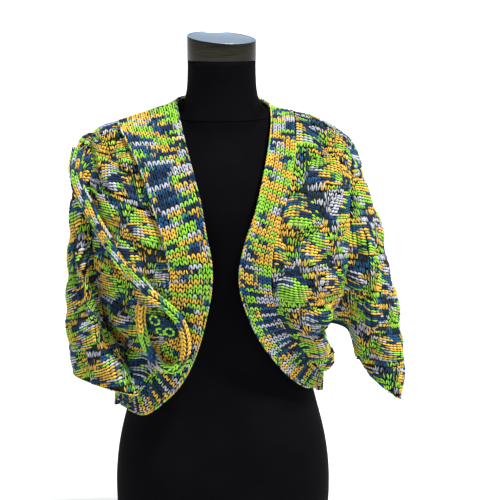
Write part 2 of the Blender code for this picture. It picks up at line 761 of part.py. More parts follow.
def build_garment(collection):
    yarn = {name: material("yarn_" + name, colour, 0.85) for name, colour in
            (("mixed", MIXED), ("lime", LIME), ("gold", GOLD), ("grey", GREY))}
    fronts = {}
    for side, table, flank, sign in (("left", FRONT_LEFT, SIDE_LEFT, 1),
                                     ("right", FRONT_RIGHT, SIDE_RIGHT, -1)):
        fronts[side] = smooth_rows(front_stations(table, flank, sign), ROW_STEPS)
    neck_seam = smooth_rows(NECK_SEAM, NECK_COLUMNS // (len(NECK_SEAM) - 1))
    neck_edge = smooth_rows(NECK_EDGE, NECK_COLUMNS // (len(NECK_EDGE) - 1))
    left_top = fronts["left"][-1, BAND_COLUMNS:]
    right_top = fronts["right"][-1, BAND_COLUMNS:]
    top_row = np.concatenate([left_top[::-1], neck_seam[1:-1], right_top])
    back = smooth_rows(back_stations(SIDE_LEFT, SIDE_RIGHT, top_row), ROW_STEPS)
    under = UNDERARM_STATION * ROW_STEPS
    back[:under + 1, 0] = fronts["left"][:under + 1, -1]
    back[:under + 1, -1] = fronts["right"][:under + 1, -1]

    all_round = ("first_row", "last_row", "first_column", "last_column")
    band_seams = ("first_row", "last_row", "last_column")
    pieces = []
    for side, whole in fronts.items():
        pieces.append(Piece(f"band_{side}", whole[:, :BAND_COLUMNS + 1], BAND_WALL, band_seams,
                            yarn["mixed"], lobes=False))
        pieces.append(Piece(f"front_{side}", whole[:, BAND_COLUMNS:], WALL, all_round, yarn["lime"]))
    pieces.append(Piece("back", back, WALL, all_round, yarn["gold"]))

    neck = np.array([[neck_edge[i] + (neck_seam[i] - neck_edge[i]) * j / BAND_COLUMNS
                      for j in range(BAND_COLUMNS + 1)] for i in range(len(neck_edge))])
    pieces.append(Piece("band_neck", neck, BAND_WALL, band_seams, yarn["mixed"], lobes=False))
    pieces.append(Piece("band_hem", hem_grid(fronts, back), BAND_WALL, band_seams, yarn["mixed"],
                        lobes=False))

    for side, rings, column in (("left", SLEEVE_LEFT, 0), ("right", SLEEVE_RIGHT, -1)):
        front_line = fronts[side][under:, -1][::-1]
        back_line = back[under:, column]
        armhole = np.concatenate([front_line, back_line[1:-1]])
        grid = sleeve_grid(armhole, rings, RING_STEPS)
        pieces.append(Piece(f"sleeve_{side}", grid, WALL, ("first_row",), yarn["grey"], wrap=True))

    share_normals(pieces)
    return {piece.name: build_wall(piece, collection) for piece in pieces}


def build_tie(collection, made):
    yarn = material("yarn_tie", LIME, 0.85)
    leaf_yarn = material("yarn_leaf", NAVY, 0.85)
    ground_pieces = [made["front_right"], made["sleeve_right"], made["band_right"]]
    ground = surface_finder(ground_pieces)

    along = np.array([math.cos(LEAF_TURN), math.sin(LEAF_TURN)])
    shares = np.linspace(0, 1, LEAF_SECTIONS)
    spots = np.array([np.array(LEAF_MIDDLE) + along * (t - 0.5) * LEAF_LENGTH for t in shares])
    swell = np.sin(math.pi * (LEAF_TIP + (1 - 2 * LEAF_TIP) * shares))
    widths = swell ** LEAF_FULLNESS[0] * LEAF_WIDTH / 2
    thicks = swell ** LEAF_FULLNESS[1] * LEAF_THICK / 2
    path, facing = lay_on(ground, spots, widths, thicks)
    rings = settle(sweep_rings(path, facing, widths, thicks, LEAF_SIDES), ground)
    leaf = loft("leaf_tab", rings, leaf_yarn, collection)
    ground = surface_finder(ground_pieces + [leaf])

    strap_count = (len(STRAP_ROUTE) - 1) * TIE_STEPS + 1
    route = smooth_rows(STRAP_ROUTE + LOOP_ROUTE, TIE_STEPS)
    places = np.arange(len(route))
    narrow = np.clip((strap_count - places) / (2 * TIE_STEPS), 0, 1)
    widths = (CORD_THICK + (STRAP_WIDTH - CORD_THICK) * narrow) / 2
    thicks = (CORD_THICK + (STRAP_THICK - CORD_THICK) * narrow) / 2
    path, facing = lay_on(ground, route, widths, thicks)
    rings = settle(sweep_rings(path, facing, widths, thicks, TIE_SIDES), ground)
    loft("tie_strap", rings[:strap_count], yarn, collection)
    ahead = unit(path[strap_count] - path[strap_count - 1])
    loop = [rings[strap_count - 1] + ahead * SEAM_GAP] + rings[strap_count:]
    loft("tie_loop", loop, yarn, collection)


def main():
    clear_scene()
    cardigan = new_collection("cardigan_on_form")
    build_form(cardigan)
    made = build_garment(cardigan)
    build_tie(cardigan, made)


main()
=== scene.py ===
# %% [markdown]
# # A hand-knit cardigan on a dress form
#
# The real object is a cropped, open-front cardigan, knitted by hand in a chunky yarn that changes
# colour as it runs: navy, mid blue, lime, golden yellow and pale grey. It hangs on a dress form
# without limbs, which is covered in black jersey and has a metal cap on its neck.
#
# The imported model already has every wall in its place. Here each wall gets a thin cloth and, on
# that cloth, its stitches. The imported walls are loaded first, and nothing moves them.

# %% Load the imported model
import math

import bmesh
import bpy
import numpy as np
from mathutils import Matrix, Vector
from mathutils.bvhtree import BVHTree


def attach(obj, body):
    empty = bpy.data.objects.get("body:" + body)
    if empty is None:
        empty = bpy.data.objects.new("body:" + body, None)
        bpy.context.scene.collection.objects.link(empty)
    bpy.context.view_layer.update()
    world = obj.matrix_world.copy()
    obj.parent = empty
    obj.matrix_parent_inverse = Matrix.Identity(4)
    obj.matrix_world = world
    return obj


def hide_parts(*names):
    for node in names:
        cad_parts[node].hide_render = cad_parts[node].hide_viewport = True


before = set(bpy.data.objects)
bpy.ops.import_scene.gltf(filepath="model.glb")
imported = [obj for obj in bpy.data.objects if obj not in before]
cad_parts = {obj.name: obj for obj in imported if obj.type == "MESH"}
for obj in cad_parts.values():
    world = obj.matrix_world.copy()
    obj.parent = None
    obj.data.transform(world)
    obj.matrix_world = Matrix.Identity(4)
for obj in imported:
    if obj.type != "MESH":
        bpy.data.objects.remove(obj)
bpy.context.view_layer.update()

MM = 0.001

# %% [markdown]
# ## Small tools
#
# A few short functions serve every piece below. One puts a mesh into the scene, one selects an
# object as a click would, and one turns a closed body's faces outwards. Two more measure along a
# line of points and read values between them.


# %% Tools for objects and lines
def add_object(name, data):
    """A new object in the scene, at the origin."""
    made = bpy.data.objects.new(name, data)
    bpy.context.scene.collection.objects.link(made)
    return made


def pick(made):
    """Makes an object the only selected one, and the active one."""
    bpy.ops.object.select_all(action="DESELECT")
    made.select_set(True)
    bpy.context.view_layer.objects.active = made


def face_outwards(made):
    """Turns all the faces of a closed body outwards."""
    pick(made)
    bpy.ops.object.mode_set(mode="EDIT")
    bpy.ops.mesh.select_all(action="SELECT")
    bpy.ops.mesh.normals_make_consistent(inside=False)
    bpy.ops.object.mode_set(mode="OBJECT")


def distances(line):
    """How far along a line of points each of them lies."""
    return np.concatenate([[0], np.cumsum(np.linalg.norm(np.diff(line, axis=0), axis=1))])


def between(at, distance, field):
    """A field's values at some distances along a line, between the line's points."""
    return np.stack([np.interp(at, distance, field[:, k]) for k in range(field.shape[1])], axis=-1)


def unit(v):
    v = np.asarray(v, float)
    return v / np.maximum(np.linalg.norm(v, axis=-1, keepdims=True), 1e-9)


print("tools ready")

# %% [markdown]
# ## The camera
#
# The picture was taken from a little above the chest, straight from the front, with a long lens.
# A long lens is a camera far away with a narrow view, so the lens follows from the distance and
# from how many metres the picture is wide at the dress form.

# %% Place the camera
CAMERA_AIM = Vector((0.045, 0.0, 0.533))
CAMERA_DISTANCE = 2.4
CAMERA_RISE = math.radians(10)
PICTURE_WIDTH = 0.81
SENSOR = 36.0

camera_data = bpy.data.cameras.new("camera")
camera_data.sensor_width = SENSOR
camera_data.lens = SENSOR * CAMERA_DISTANCE / PICTURE_WIDTH
camera_data.clip_end = 1000
camera = add_object("camera", camera_data)
camera.location = CAMERA_AIM + CAMERA_DISTANCE * Vector((0, -math.cos(CAMERA_RISE), math.sin(CAMERA_RISE)))
camera.rotation_euler = (math.pi / 2 - CAMERA_RISE, 0, 0)
bpy.context.scene.camera = camera
print("camera at", [round(c, 3) for c in camera.location], "lens", round(camera_data.lens, 1))

# %% [markdown]
# ## The garment's lines
#
# A pattern cutter describes a garment by its lines: where the front edge runs, where the band is
# sewn on, where the side seam and the armhole lie. The tables hold points on these lines in
# millimetres, from the hem up to the shoulder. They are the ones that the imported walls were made
# from, but for three points of the right side. A smooth curve through them gives every place in
# between.

# %% Lines of the fronts, the sides, the sleeves and the neck
WALL, BAND_WALL = 4.5, 6.0
# Columns across each piece, steps between two sections, and the section at the underarm
BAND_COLUMNS, PANEL_COLUMNS, NECK_COLUMNS = 5, 8, 12
ROW_STEPS, UNDERARM_STATION = 2, 3

# A front's sections: the band's free edge, its seam, and how far the front swells beside it
FRONT_COLUMNS = ("edge_x", "edge_y", "edge_z", "seam_x", "seam_y", "seam_z", "belly")
FRONT_LEFT = (
    (163, -8, 306, 165, -9, 328, 2),
    (133, -62, 322, 151, -52, 353, 9),
    (104, -88, 349, 134, -78, 379, 14),
    (80, -106, 381, 117, -98, 404, 17),
    (59, -118, 414, 101, -110, 428, 20),
    (43, -126, 450, 87, -120, 458, 22),
    (31, -134, 491, 79, -130, 491, 22),
    (30, -142, 530, 79, -138, 529, 20),
    (40, -148, 574, 83, -142, 569, 17),
    (54, -142, 616, 95, -134, 609, 14),
    (65, -118, 662, 108, -112, 655, 12),
    (74, -84, 705, 116, -80, 701, 10),
    (79, -42, 744, 117, -42, 743, 8),
    (78, 0, 763, 115, 0, 758, 7),
)
FRONT_RIGHT = (
    (-169, -12, 280, -167, -14, 309, 3),
    (-126, -74, 279, -134, -66, 312, 6),
    (-91, -94, 306, -116, -84, 341, 9),
    (-65, -108, 336, -102, -100, 370, 12),
    (-46, -118, 372, -92, -112, 400, 14),
    (-33, -126, 409, -84, -122, 430, 15),
    (-23, -134, 449, -80, -132, 464, 15),
    (-15, -142, 492, -78, -140, 497, 15),
    (-14, -148, 537, -77, -145, 536, 14),
    (-22, -150, 581, -81, -146, 574, 12),
    (-31, -140, 632, -98, -132, 624, 11),
    (-44, -112, 677, -119, -106, 676, 10),
    (-60, -62, 727, -148, -56, 721, 8),
    (-73, 0, 772, -166, 0, 742, 3),
)
# The side seam up to the underarm, then the armhole's front and back lines up to the shoulder,
# and the middle of the back. The second to fourth rows on the right lie 2 to 4 mm further out
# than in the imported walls, which closes a gap under the sleeve.
SIDE_COLUMNS = ("side_x", "front_y", "back_y", "side_z", "middle_y", "middle_z")
SIDE_LEFT = (
    (154, 12, 12, 341, 122, 340),
    (165, 8, 8, 362, 119, 358),
    (158, 2, 2, 387, 117, 380),
    (156, -2, -2, 413, 116, 406),
    (172, -30, 28, 432, 115, 432),
    (188, -50, 46, 460, 114, 462),
    (196, -64, 60, 495, 114, 494),
    (199, -73, 68, 532, 115, 530),
    (200, -76, 72, 571, 117, 566),
    (201, -73, 70, 610, 118, 602),
    (203, -62, 62, 650, 117, 640),
    (204, -42, 46, 684, 113, 674),
    (205, -20, 24, 704, 108, 700),
    (206, 0, 0, 713, 102, 722),
)
SIDE_RIGHT = (
    (-174, 10, 10, 320, 122, 340),
    (-181, 7, 7, 350, 119, 358),
    (-187, 3, 3, 382, 117, 380),
    (-192, 0, 0, 415, 116, 406),
    (-192, -28, 28, 436, 115, 432),
    (-195, -48, 46, 464, 114, 462),
    (-198, -64, 60, 498, 114, 494),
    (-200, -74, 68, 535, 115, 530),
    (-202, -78, 72, 575, 117, 566),
    (-203, -76, 70, 614, 118, 602),
    (-204, -64, 62, 656, 117, 640),
    (-204, -44, 46, 692, 113, 674),
    (-205, -21, 24, 714, 108, 700),
    (-206, 0, 0, 724, 102, 722),
)
# A sleeve's rings: its outer line, its line under the arm, and how far it bulges
SLEEVE_COLUMNS = ("top_x", "top_y", "top_z", "low_x", "low_y", "low_z", "front", "back")
SLEEVE_LEFT = (
    (218, 0, 684, 181, -3, 412, 76, 70),
    (227, 0, 650, 197, -4, 407, 74, 66),
    (241, -1, 611, 206, -5, 401, 70, 60),
    (254, -2, 568, 212, -6, 394, 65, 54),
    (264, -3, 523, 217, -7, 387, 60, 48),
    (275, -4, 477, 221, -8, 379, 54, 43),
    (285, -5, 430, 225, -9, 370, 48, 38),
    (292, -6, 382, 229, -10, 361, 42, 34),
    (296, -7, 333, 233, -10, 349, 37, 30),
    (292, -8, 289, 240, -10, 330, 32, 27),
)
SLEEVE_RIGHT = (
    (-226, 0, 713, -193, -7, 410, 74, 70),
    (-233, -3, 680, -193, -18, 405, 72, 66),
    (-237, -6, 640, -191, -33, 400, 69, 60),
    (-239, -10, 597, -184, -51, 394, 64, 52),
    (-241, -14, 552, -174, -68, 386, 58, 44),
    (-242, -18, 507, -165, -83, 378, 52, 36),
    (-244, -23, 463, -160, -97, 368, 45, 30),
    (-243, -28, 420, -151, -108, 355, 38, 26),
    (-241, -33, 378, -142, -116, 340, 32, 23),
    (-236, -38, 340, -133, -120, 324, 27, 21),
)
# Round the back of the neck: the band's free edge, and its seam on the back
NECK_EDGE = (
    (78, 0, 763), (70, 32, 770), (44, 58, 778), (0, 70, 781),
    (-44, 58, 779), (-68, 32, 776), (-73, 0, 772),
)
NECK_SEAM = (
    (115, 0, 758), (98, 46, 746), (62, 84, 730), (0, 102, 722),
    (-66, 88, 727), (-124, 50, 737), (-166, 0, 742),
)
# How far the back spreads outwards below the corners of the neckline, and where
NECK_EASE, NECK_EASE_AT, NECK_EASE_REACH = 24.0, 0.45, 0.2
# The part of half the back that lies outside the neckline, how round the back is, and how much
# the top edge shapes the highest sections, from the top one down
BACK_SHOULDER, BACK_ROUND = 0.42, 0.75
TOP_SHAPES = (1.0, 0.85, 0.45, 0.12)
# Which way the knitting faces along the shoulder line, and how much a front faces sideways
SHOULDER_OUT, FRONT_TURN = (0.35, 0.94), 0.6
# The hem band hangs this far down, flares, and rises over some columns to each corner
HEM_BAND_DROP, HEM_BAND_FLARE, HEM_CORNER_COLUMNS = 46.0, 3.0, 12
# Rings over which a sleeve takes its own outline, and how much narrower it is under the arm
SLEEVE_CHANGE, SLEEVE_PINCH = 4, 0.35


# %% Smooth curves through rows of points
def smooth_rows(rows, steps):
    """A smooth curve through all the rows, with steps between each two."""
    rows = np.asarray(rows, float)
    padded = np.concatenate([[2 * rows[0] - rows[1]], rows, [2 * rows[-1] - rows[-2]]])
    out = []
    for i in range(len(rows) - 1):
        a, b, c, d = padded[i:i + 4]
        for j in range(steps):
            t = j / steps
            out.append(0.5 * (2 * b + (c - a) * t + (2 * a - 5 * b + 4 * c - d) * t ** 2
                              + (3 * b - a - 3 * c + d) * t ** 3))
    out.append(rows[-1])
    return np.array(out)


def refine(grid, steps, wrap):
    """A grid with steps between each two of its rows and of its columns."""
    grid = smooth_rows(grid, steps)
    if not wrap:
        return smooth_rows(grid.transpose(1, 0, 2), steps).transpose(1, 0, 2)
    margin = 2
    ring = np.concatenate([grid[:, -margin:], grid, grid[:, :margin + 1]], axis=1)
    ring = smooth_rows(ring.transpose(1, 0, 2), steps).transpose(1, 0, 2)
    return ring[:, margin * steps:(margin + grid.shape[1]) * steps]


print("sections: front", len(FRONT_LEFT), "sleeve", len(SLEEVE_LEFT), "neck", len(NECK_EDGE))

# %% [markdown]
# ## The sections become surfaces
#
# Each section of a front is a row of points from the band's free edge to the side seam, and it
# swells a little between the two, as cloth over a chest does. The back is a round line between
# the two sides. A sleeve starts as the armhole's outline, and changes ring by ring into the
# flatter tube that hangs beside the body.


# %% Rows of the fronts and the back
def front_stations(front, side, sign):
    """Band and front points at each section, from the band's free edge to the side."""
    rows = []
    for section, flank in zip(front, side):
        f = dict(zip(FRONT_COLUMNS, section))
        s = dict(zip(SIDE_COLUMNS, flank))
        edge = np.array([f["edge_x"], f["edge_y"], f["edge_z"]], float)
        seam = np.array([f["seam_x"], f["seam_y"], f["seam_z"]], float)
        flank_point = np.array([s["side_x"], s["front_y"], s["side_z"]], float)
        out = unit(np.array([seam[0] * FRONT_TURN, seam[1], 0.0]))
        if section is front[-1]:
            out = np.array([sign * SHOULDER_OUT[0], 0.0, SHOULDER_OUT[1]])
        band = [edge + (seam - edge) * i / BAND_COLUMNS for i in range(BAND_COLUMNS)]
        panel = []
        for i in range(PANEL_COLUMNS + 1):
            t = i / PANEL_COLUMNS
            panel.append(seam + (flank_point - seam) * t + out * f["belly"] * 4 * t * (1 - t))
        rows.append(band + panel)
    return np.array(rows)


def back_shares(columns):
    """How far round the back each column is: 1 at the left side, 0 in the middle, -1 right."""
    middle = (columns - 1) // 2
    shares = []
    for c in range(columns):
        if c <= PANEL_COLUMNS:
            shares.append(1 - BACK_SHOULDER * c / PANEL_COLUMNS)
        elif c >= columns - 1 - PANEL_COLUMNS:
            shares.append(-1 + BACK_SHOULDER * (columns - 1 - c) / PANEL_COLUMNS)
        else:
            shares.append((1 - BACK_SHOULDER) * (middle - c) / (middle - PANEL_COLUMNS))
    return shares


def back_stations(left, right, top_row):
    """Back points at each section, from the left side round to the right one."""
    rows = []
    stations = len(left)
    for k in range(stations):
        at_left, at_right = (dict(zip(SIDE_COLUMNS, side[k])) for side in (left, right))
        ends = {sign: np.array([s["side_x"], s["back_y"], s["side_z"]], float)
                for sign, s in ((1, at_left), (-1, at_right))}
        centre = np.array([0.0, at_left["middle_y"], at_left["middle_z"]])
        below_top = stations - 1 - k
        weight = TOP_SHAPES[below_top] if below_top < len(TOP_SHAPES) else 0.0
        row = []
        for c, t in enumerate(back_shares(len(top_row))):
            end = ends[1 if t >= 0 else -1]
            turn = abs(t) * math.pi / 2
            plain = np.array([
                end[0] * math.sin(turn),
                end[1] + (centre[1] - end[1]) * max(math.cos(turn), 0.0) ** BACK_ROUND,
                centre[2] + (end[2] - centre[2]) * math.sin(turn) ** 2,
            ])
            moved_end = end - top_row[0 if t >= 0 else -1]
            moved_middle = centre - top_row[(len(top_row) - 1) // 2]
            shifted = top_row[c] + moved_end * abs(t) + moved_middle * (1 - abs(t))
            point = plain * (1 - weight) + shifted * weight
            spread = math.exp(-((abs(t) - NECK_EASE_AT) / NECK_EASE_REACH) ** 2)
            point[0] += math.copysign(NECK_EASE * 4 * weight * (1 - weight) * spread, t)
            row.append(point)
        rows.append(row)
    return np.array(rows)


# %% Rings of the sleeves and rows of the hem band
def sleeve_grid(armhole, rings):
    """Rings from the armhole to the cuff: outer line, down the front, under, up the back."""
    count = len(armhole)
    axis0 = (armhole[0] - armhole[count // 2]) / 2
    middle0 = (armhole[0] + armhole[count // 2]) / 2
    reach0 = np.linalg.norm(axis0)
    along0 = axis0 / reach0
    depth0 = unit(np.array([0.0, 1.0, 0.0]) - along0 * along0[1])
    out0 = np.cross(along0, depth0)
    local = [((p - middle0) @ along0 / reach0, (p - middle0) @ depth0, (p - middle0) @ out0)
             for p in armhole]
    grid = [armhole]
    for i, ring in enumerate(rings):
        r = dict(zip(SLEEVE_COLUMNS, ring))
        top = np.array([r["top_x"], r["top_y"], r["top_z"]], float)
        low = np.array([r["low_x"], r["low_y"], r["low_z"]], float)
        middle = (top + low) / 2
        reach = np.linalg.norm(top - low) / 2
        along = (top - low) / 2 / reach
        depth = unit(np.array([0.0, 1.0, 0.0]) - along * along[1])
        blend = min(1.0, (i + 1) / SLEEVE_CHANGE)
        row = []
        for j, (a0, d0, o0) in enumerate(local):
            turn = 2 * math.pi * j / count
            side = -r["front"] if j <= count // 2 else -r["back"]
            pinch = 1 - SLEEVE_PINCH * (1 - math.cos(turn)) / 2
            a = a0 * (1 - blend) + math.cos(turn) * blend
            d = d0 * (1 - blend) + side * math.sin(turn) * pinch * blend
            row.append(middle + along * a * reach + depth * d + out0 * o0 * (1 - blend))
        grid.append(np.array(row))
    return np.array(grid)


def hem_grid(fronts, back):
    """The band along the hem, from the left front's corner round the back to the right one."""
    left = fronts["left"][0]
    right = fronts["right"][0]
    seam_line = np.concatenate([left[BAND_COLUMNS:-1], back[0], right[BAND_COLUMNS:-1][::-1]])
    last = len(seam_line) - 1
    grid = []
    for i, seam in enumerate(seam_line):
        out = unit(np.array([seam[0], seam[1], 0.0]))
        drop = seam + out * HEM_BAND_FLARE - np.array([0, 0, HEM_BAND_DROP])
        front = left if i < last / 2 else right
        corner = front[0] - front[BAND_COLUMNS]
        ease = max(0.0, 1 - min(i, last - i) / HEM_CORNER_COLUMNS) ** 2
        drop = drop * (1 - ease) + (seam + corner) * ease
        grid.append([drop + (seam - drop) * j / BAND_COLUMNS for j in range(BAND_COLUMNS + 1)])
    return np.array(grid)


fronts = {
    "left": smooth_rows(front_stations(FRONT_LEFT, SIDE_LEFT, 1), ROW_STEPS),
    "right": smooth_rows(front_stations(FRONT_RIGHT, SIDE_RIGHT, -1), ROW_STEPS),
}
neck_seam = smooth_rows(NECK_SEAM, NECK_COLUMNS // (len(NECK_SEAM) - 1))
neck_edge = smooth_rows(NECK_EDGE, NECK_COLUMNS // (len(NECK_EDGE) - 1))
top_row = np.concatenate([fronts["left"][-1, BAND_COLUMNS:][::-1], neck_seam[1:-1],
                          fronts["right"][-1, BAND_COLUMNS:]])
back_grid = smooth_rows(back_stations(SIDE_LEFT, SIDE_RIGHT, top_row), ROW_STEPS)
under = UNDERARM_STATION * ROW_STEPS
back_grid[:under + 1, 0] = fronts["left"][:under + 1, -1]
back_grid[:under + 1, -1] = fronts["right"][:under + 1, -1]

grids = {"back": back_grid, "band_hem": hem_grid(fronts, back_grid)}
for side, rings, column in (("left", SLEEVE_LEFT, 0), ("right", SLEEVE_RIGHT, -1)):
    grids["band_" + side] = fronts[side][:, :BAND_COLUMNS + 1]
    grids["front_" + side] = fronts[side][:, BAND_COLUMNS:]
    armhole = np.concatenate([fronts[side][under:, -1][::-1], back_grid[under:, column][1:-1]])
    grids["sleeve_" + side] = sleeve_grid(armhole, rings)
grids["band_neck"] = np.array([[e + (s - e) * j / BAND_COLUMNS for j in range(BAND_COLUMNS + 1)]
                               for e, s in zip(neck_edge, neck_seam)])
print("surfaces:", {name: grid.shape[:2] for name, grid in grids.items()})

# %% [markdown]
# ## Folds and knitted lobes
#
# Heavy knitting hangs in soft folds, and this one has a pattern of domed lobes. Each dome is
# about 56 mm wide. They stand 78 mm apart in tiers 62 mm high, set like bricks. Folds and domes
# are heights along the surface's own direction. They depend on the length of fabric that lies
# between two places, so the lengths across and up each surface are measured first.

# %% Folds and lobes
FOLD_COLUMNS = ("from_across", "from_up", "to_across", "to_up", "half_width", "height")
FOLDS = {
    "front_left": (
        (0.28, 0.02, 0.32, 0.30, 17, 10),
        (0.98, 0.08, 0.42, 0.24, 17, 11),
        (0.98, 0.24, 0.52, 0.38, 19, 11),
        (0.90, 0.95, 0.35, 0.55, 22, 6),
        (0.85, 0.50, 0.30, 0.62, 20, -6),
    ),
    "front_right": (
        (0.30, 0.05, 0.30, 0.32, 14, 8),
        (0.92, 0.30, 0.30, 0.38, 18, 7),
        (0.90, 0.92, 0.30, 0.50, 22, 6),
        (0.80, 0.62, 0.25, 0.45, 20, -5),
    ),
    "back": (
        (0.06, 0.10, 0.30, 0.24, 20, 9),
        (0.94, 0.10, 0.70, 0.24, 20, 9),
        (0.10, 0.82, 0.36, 0.42, 24, 7),
        (0.90, 0.82, 0.64, 0.42, 24, 7),
        (0.42, 0.16, 0.47, 0.62, 22, -6),
        (0.60, 0.14, 0.55, 0.58, 22, -6),
    ),
    "sleeve_left": (
        (0.20, 0.02, 0.30, 0.60, 18, 7),
        (0.34, 0.10, 0.42, 0.86, 16, 6),
        (0.72, 0.05, 0.64, 0.70, 20, 7),
        (0.14, 0.40, 0.20, 0.95, 16, -4),
    ),
    "sleeve_right": (
        (0.22, 0.04, 0.30, 0.62, 18, 7),
        (0.36, 0.18, 0.40, 0.88, 15, 6),
        (0.72, 0.05, 0.64, 0.70, 20, 7),
        (0.14, 0.35, 0.22, 0.92, 16, -4),
    ),
}
# How far a fold runs on past its ends, in half widths
FOLD_TAPER = 1.2
# A dome's height, the size of its place in the pattern, and how much of half that it reaches
LOBE_HEIGHT, SLEEVE_LOBE_HEIGHT = 7.0, 5.0
LOBE_WIDTH, LOBE_TALL, LOBE_REACH = 78.0, 62.0, (0.36, 0.43)
# Steps of the fine surface between two points, and how far in from an edge it has no relief
FINE_STEPS = 4
EDGE_REACH = 2.0 * FINE_STEPS


def lengths(grid, wrap):
    """Fabric lengths across and up a grid, in millimetres along its rows and columns."""
    step_across = np.linalg.norm(np.diff(grid, axis=1), axis=2)
    across = np.concatenate([np.zeros((grid.shape[0], 1)), np.cumsum(step_across, axis=1)], axis=1)
    if wrap:
        around = across[:, -1:] + np.linalg.norm(grid[:, -1] - grid[:, 0], axis=1)[:, None]
        across = np.where(across > around / 2, across - around, across)
    else:
        across = across - across[:, -1:] / 2
    step_up = np.linalg.norm(np.diff(grid, axis=0), axis=2)
    up = np.concatenate([np.zeros((1, grid.shape[1])), np.cumsum(step_up, axis=0)], axis=0)
    return across, up


def edge_window(shape, wrap):
    """Zero along a grid's edges, one inside, so that neighbouring pieces still meet."""
    rows, columns = shape
    window = np.clip(np.minimum(np.arange(rows), np.arange(rows)[::-1]) / EDGE_REACH, 0, 1)[:, None]
    window = window * np.ones(columns)[None]
    if not wrap:
        side = np.minimum(np.arange(columns), np.arange(columns)[::-1])
        window = window * np.clip(side / EDGE_REACH, 0, 1)[None]
    return window


def fold_height(across, up, folds):
    """The height that the folds in the table add at each point of a grid."""
    rows, columns = across.shape
    total = np.zeros((rows, columns))
    for fold in folds:
        f = dict(zip(FOLD_COLUMNS, fold))
        i0, j0 = round(f["from_up"] * (rows - 1)), round(f["from_across"] * (columns - 1))
        i1, j1 = round(f["to_up"] * (rows - 1)), round(f["to_across"] * (columns - 1))
        start = np.array([across[i0, j0], up[i0, j0]])
        along = np.array([across[i1, j1], up[i1, j1]]) - start
        length = max(np.linalg.norm(along), 1.0)
        along = along / length
        rel = np.stack([across - start[0], up - start[1]], axis=-1)
        place = rel @ along
        off = rel @ np.array([-along[1], along[0]])
        beyond = np.maximum(np.maximum(-place, place - length), 0)
        taper = np.exp(-(beyond / (FOLD_TAPER * f["half_width"])) ** 2)
        total += f["height"] * np.exp(-(off / f["half_width"]) ** 2) * taper
    return total


def lobe_places(across, up):
    """How far a place is from the middle of its lobe, as shares of a lobe's width and height."""
    tier = np.floor(up / LOBE_TALL)
    x = across / LOBE_WIDTH + 0.5 * (tier % 2)
    return x - np.round(x), up / LOBE_TALL - tier - 0.5


def lobe_share(across, up):
    """One in the middle of a lobe, zero on its rim and less between the lobes."""
    x, y = lobe_places(across, up)
    return 1 - (x / LOBE_REACH[0]) ** 2 - (y / LOBE_REACH[1]) ** 2


def outward_normals(grid, wrap):
    """Directions square to a surface, away from the middle of a sleeve or of the body."""
    centre = grid.reshape(-1, 3).mean(axis=0)
    if wrap:
        across = np.roll(grid, -1, axis=1) - np.roll(grid, 1, axis=1)
    else:
        across = np.gradient(grid, axis=1)
        centre[:2] = 0
    normals = unit(np.cross(np.gradient(grid, axis=0), across))
    return normals * np.sign(np.sum((grid - centre) * normals))


# %% [markdown]
# ## One surface that can be asked for any place
#
# Stitches sit between the grid's points, so a surface answers this question: which point in
# space, and which way out, belongs to so many millimetres across and up the fabric. The rows
# are not straight. Over each lobe they drop towards its outer side, like a fan, and the columns
# of stitches spread above its middle. On the front bands and the sleeves they slope, because the
# knitting turns a corner there. So a place is shifted before it is looked up.

# %% The surface of a knitted piece
WIDE_BAND = "band_right"
# How far the rows drop over a lobe, and its columns spread
ROW_DROP, COLUMN_WAVE = 19.0, 4.0
# How the drop grows across a lobe, and its mean, which is taken off
DROP_SHAPE, DROP_MEAN = 1.7, 0.37
# Over this many millimetres from an edge both fade out
WAVE_FADE = 14.0
# A row takes one more stitch if it overshoots by up to this share of its width, and keeps its
# end stitches this far inside
ROW_ROOM, ROW_MARGIN = 0.1, 0.4
# The wide right band is folded back like a lapel: its sewn edge stands this far off the
# front and reaches this far over it, from this share of its length upwards
LAPEL = {WIDE_BAND: (8.0, 4.0, 0.56)}
# Shares of the band's length over which the lapel lifts and closes, and the share of its
# width that stays down
LAPEL_LIFT, LAPEL_CLOSE, LAPEL_FLAT = 0.12, 0.06, 0.3
# The rows of the front bands run down towards their sewn edge: how steeply, and between
# which shares of the band's length
ROW_SLOPE = {WIDE_BAND: (0.35, 0.45, 0.97), "band_left": (0.25, 0.15, 0.98)}
# The rows of a sleeve run down towards its outer line: how steeply, and how softly they turn there
SLEEVE_SLOPE, SLEEVE_TURN = 0.30, 22.0


def smoothstep(t):
    t = np.clip(t, 0, 1)
    return t * t * (3 - 2 * t)


def lapel_shift(fine, normals, rise, reach, start):
    """How a band's sewn edge is lifted off the front, and drawn a little over it."""
    up = np.linspace(0, 1, fine.shape[0])[:, None]
    across = np.linspace(0, 1, fine.shape[1])[None]
    share = smoothstep((up - start) / LAPEL_LIFT) * smoothstep((1 - up) / LAPEL_CLOSE)
    share = (share * smoothstep((across - LAPEL_FLAT) / (1 - LAPEL_FLAT)))[..., None]
    return share * (normals * rise + unit(np.gradient(fine, axis=1)) * reach)


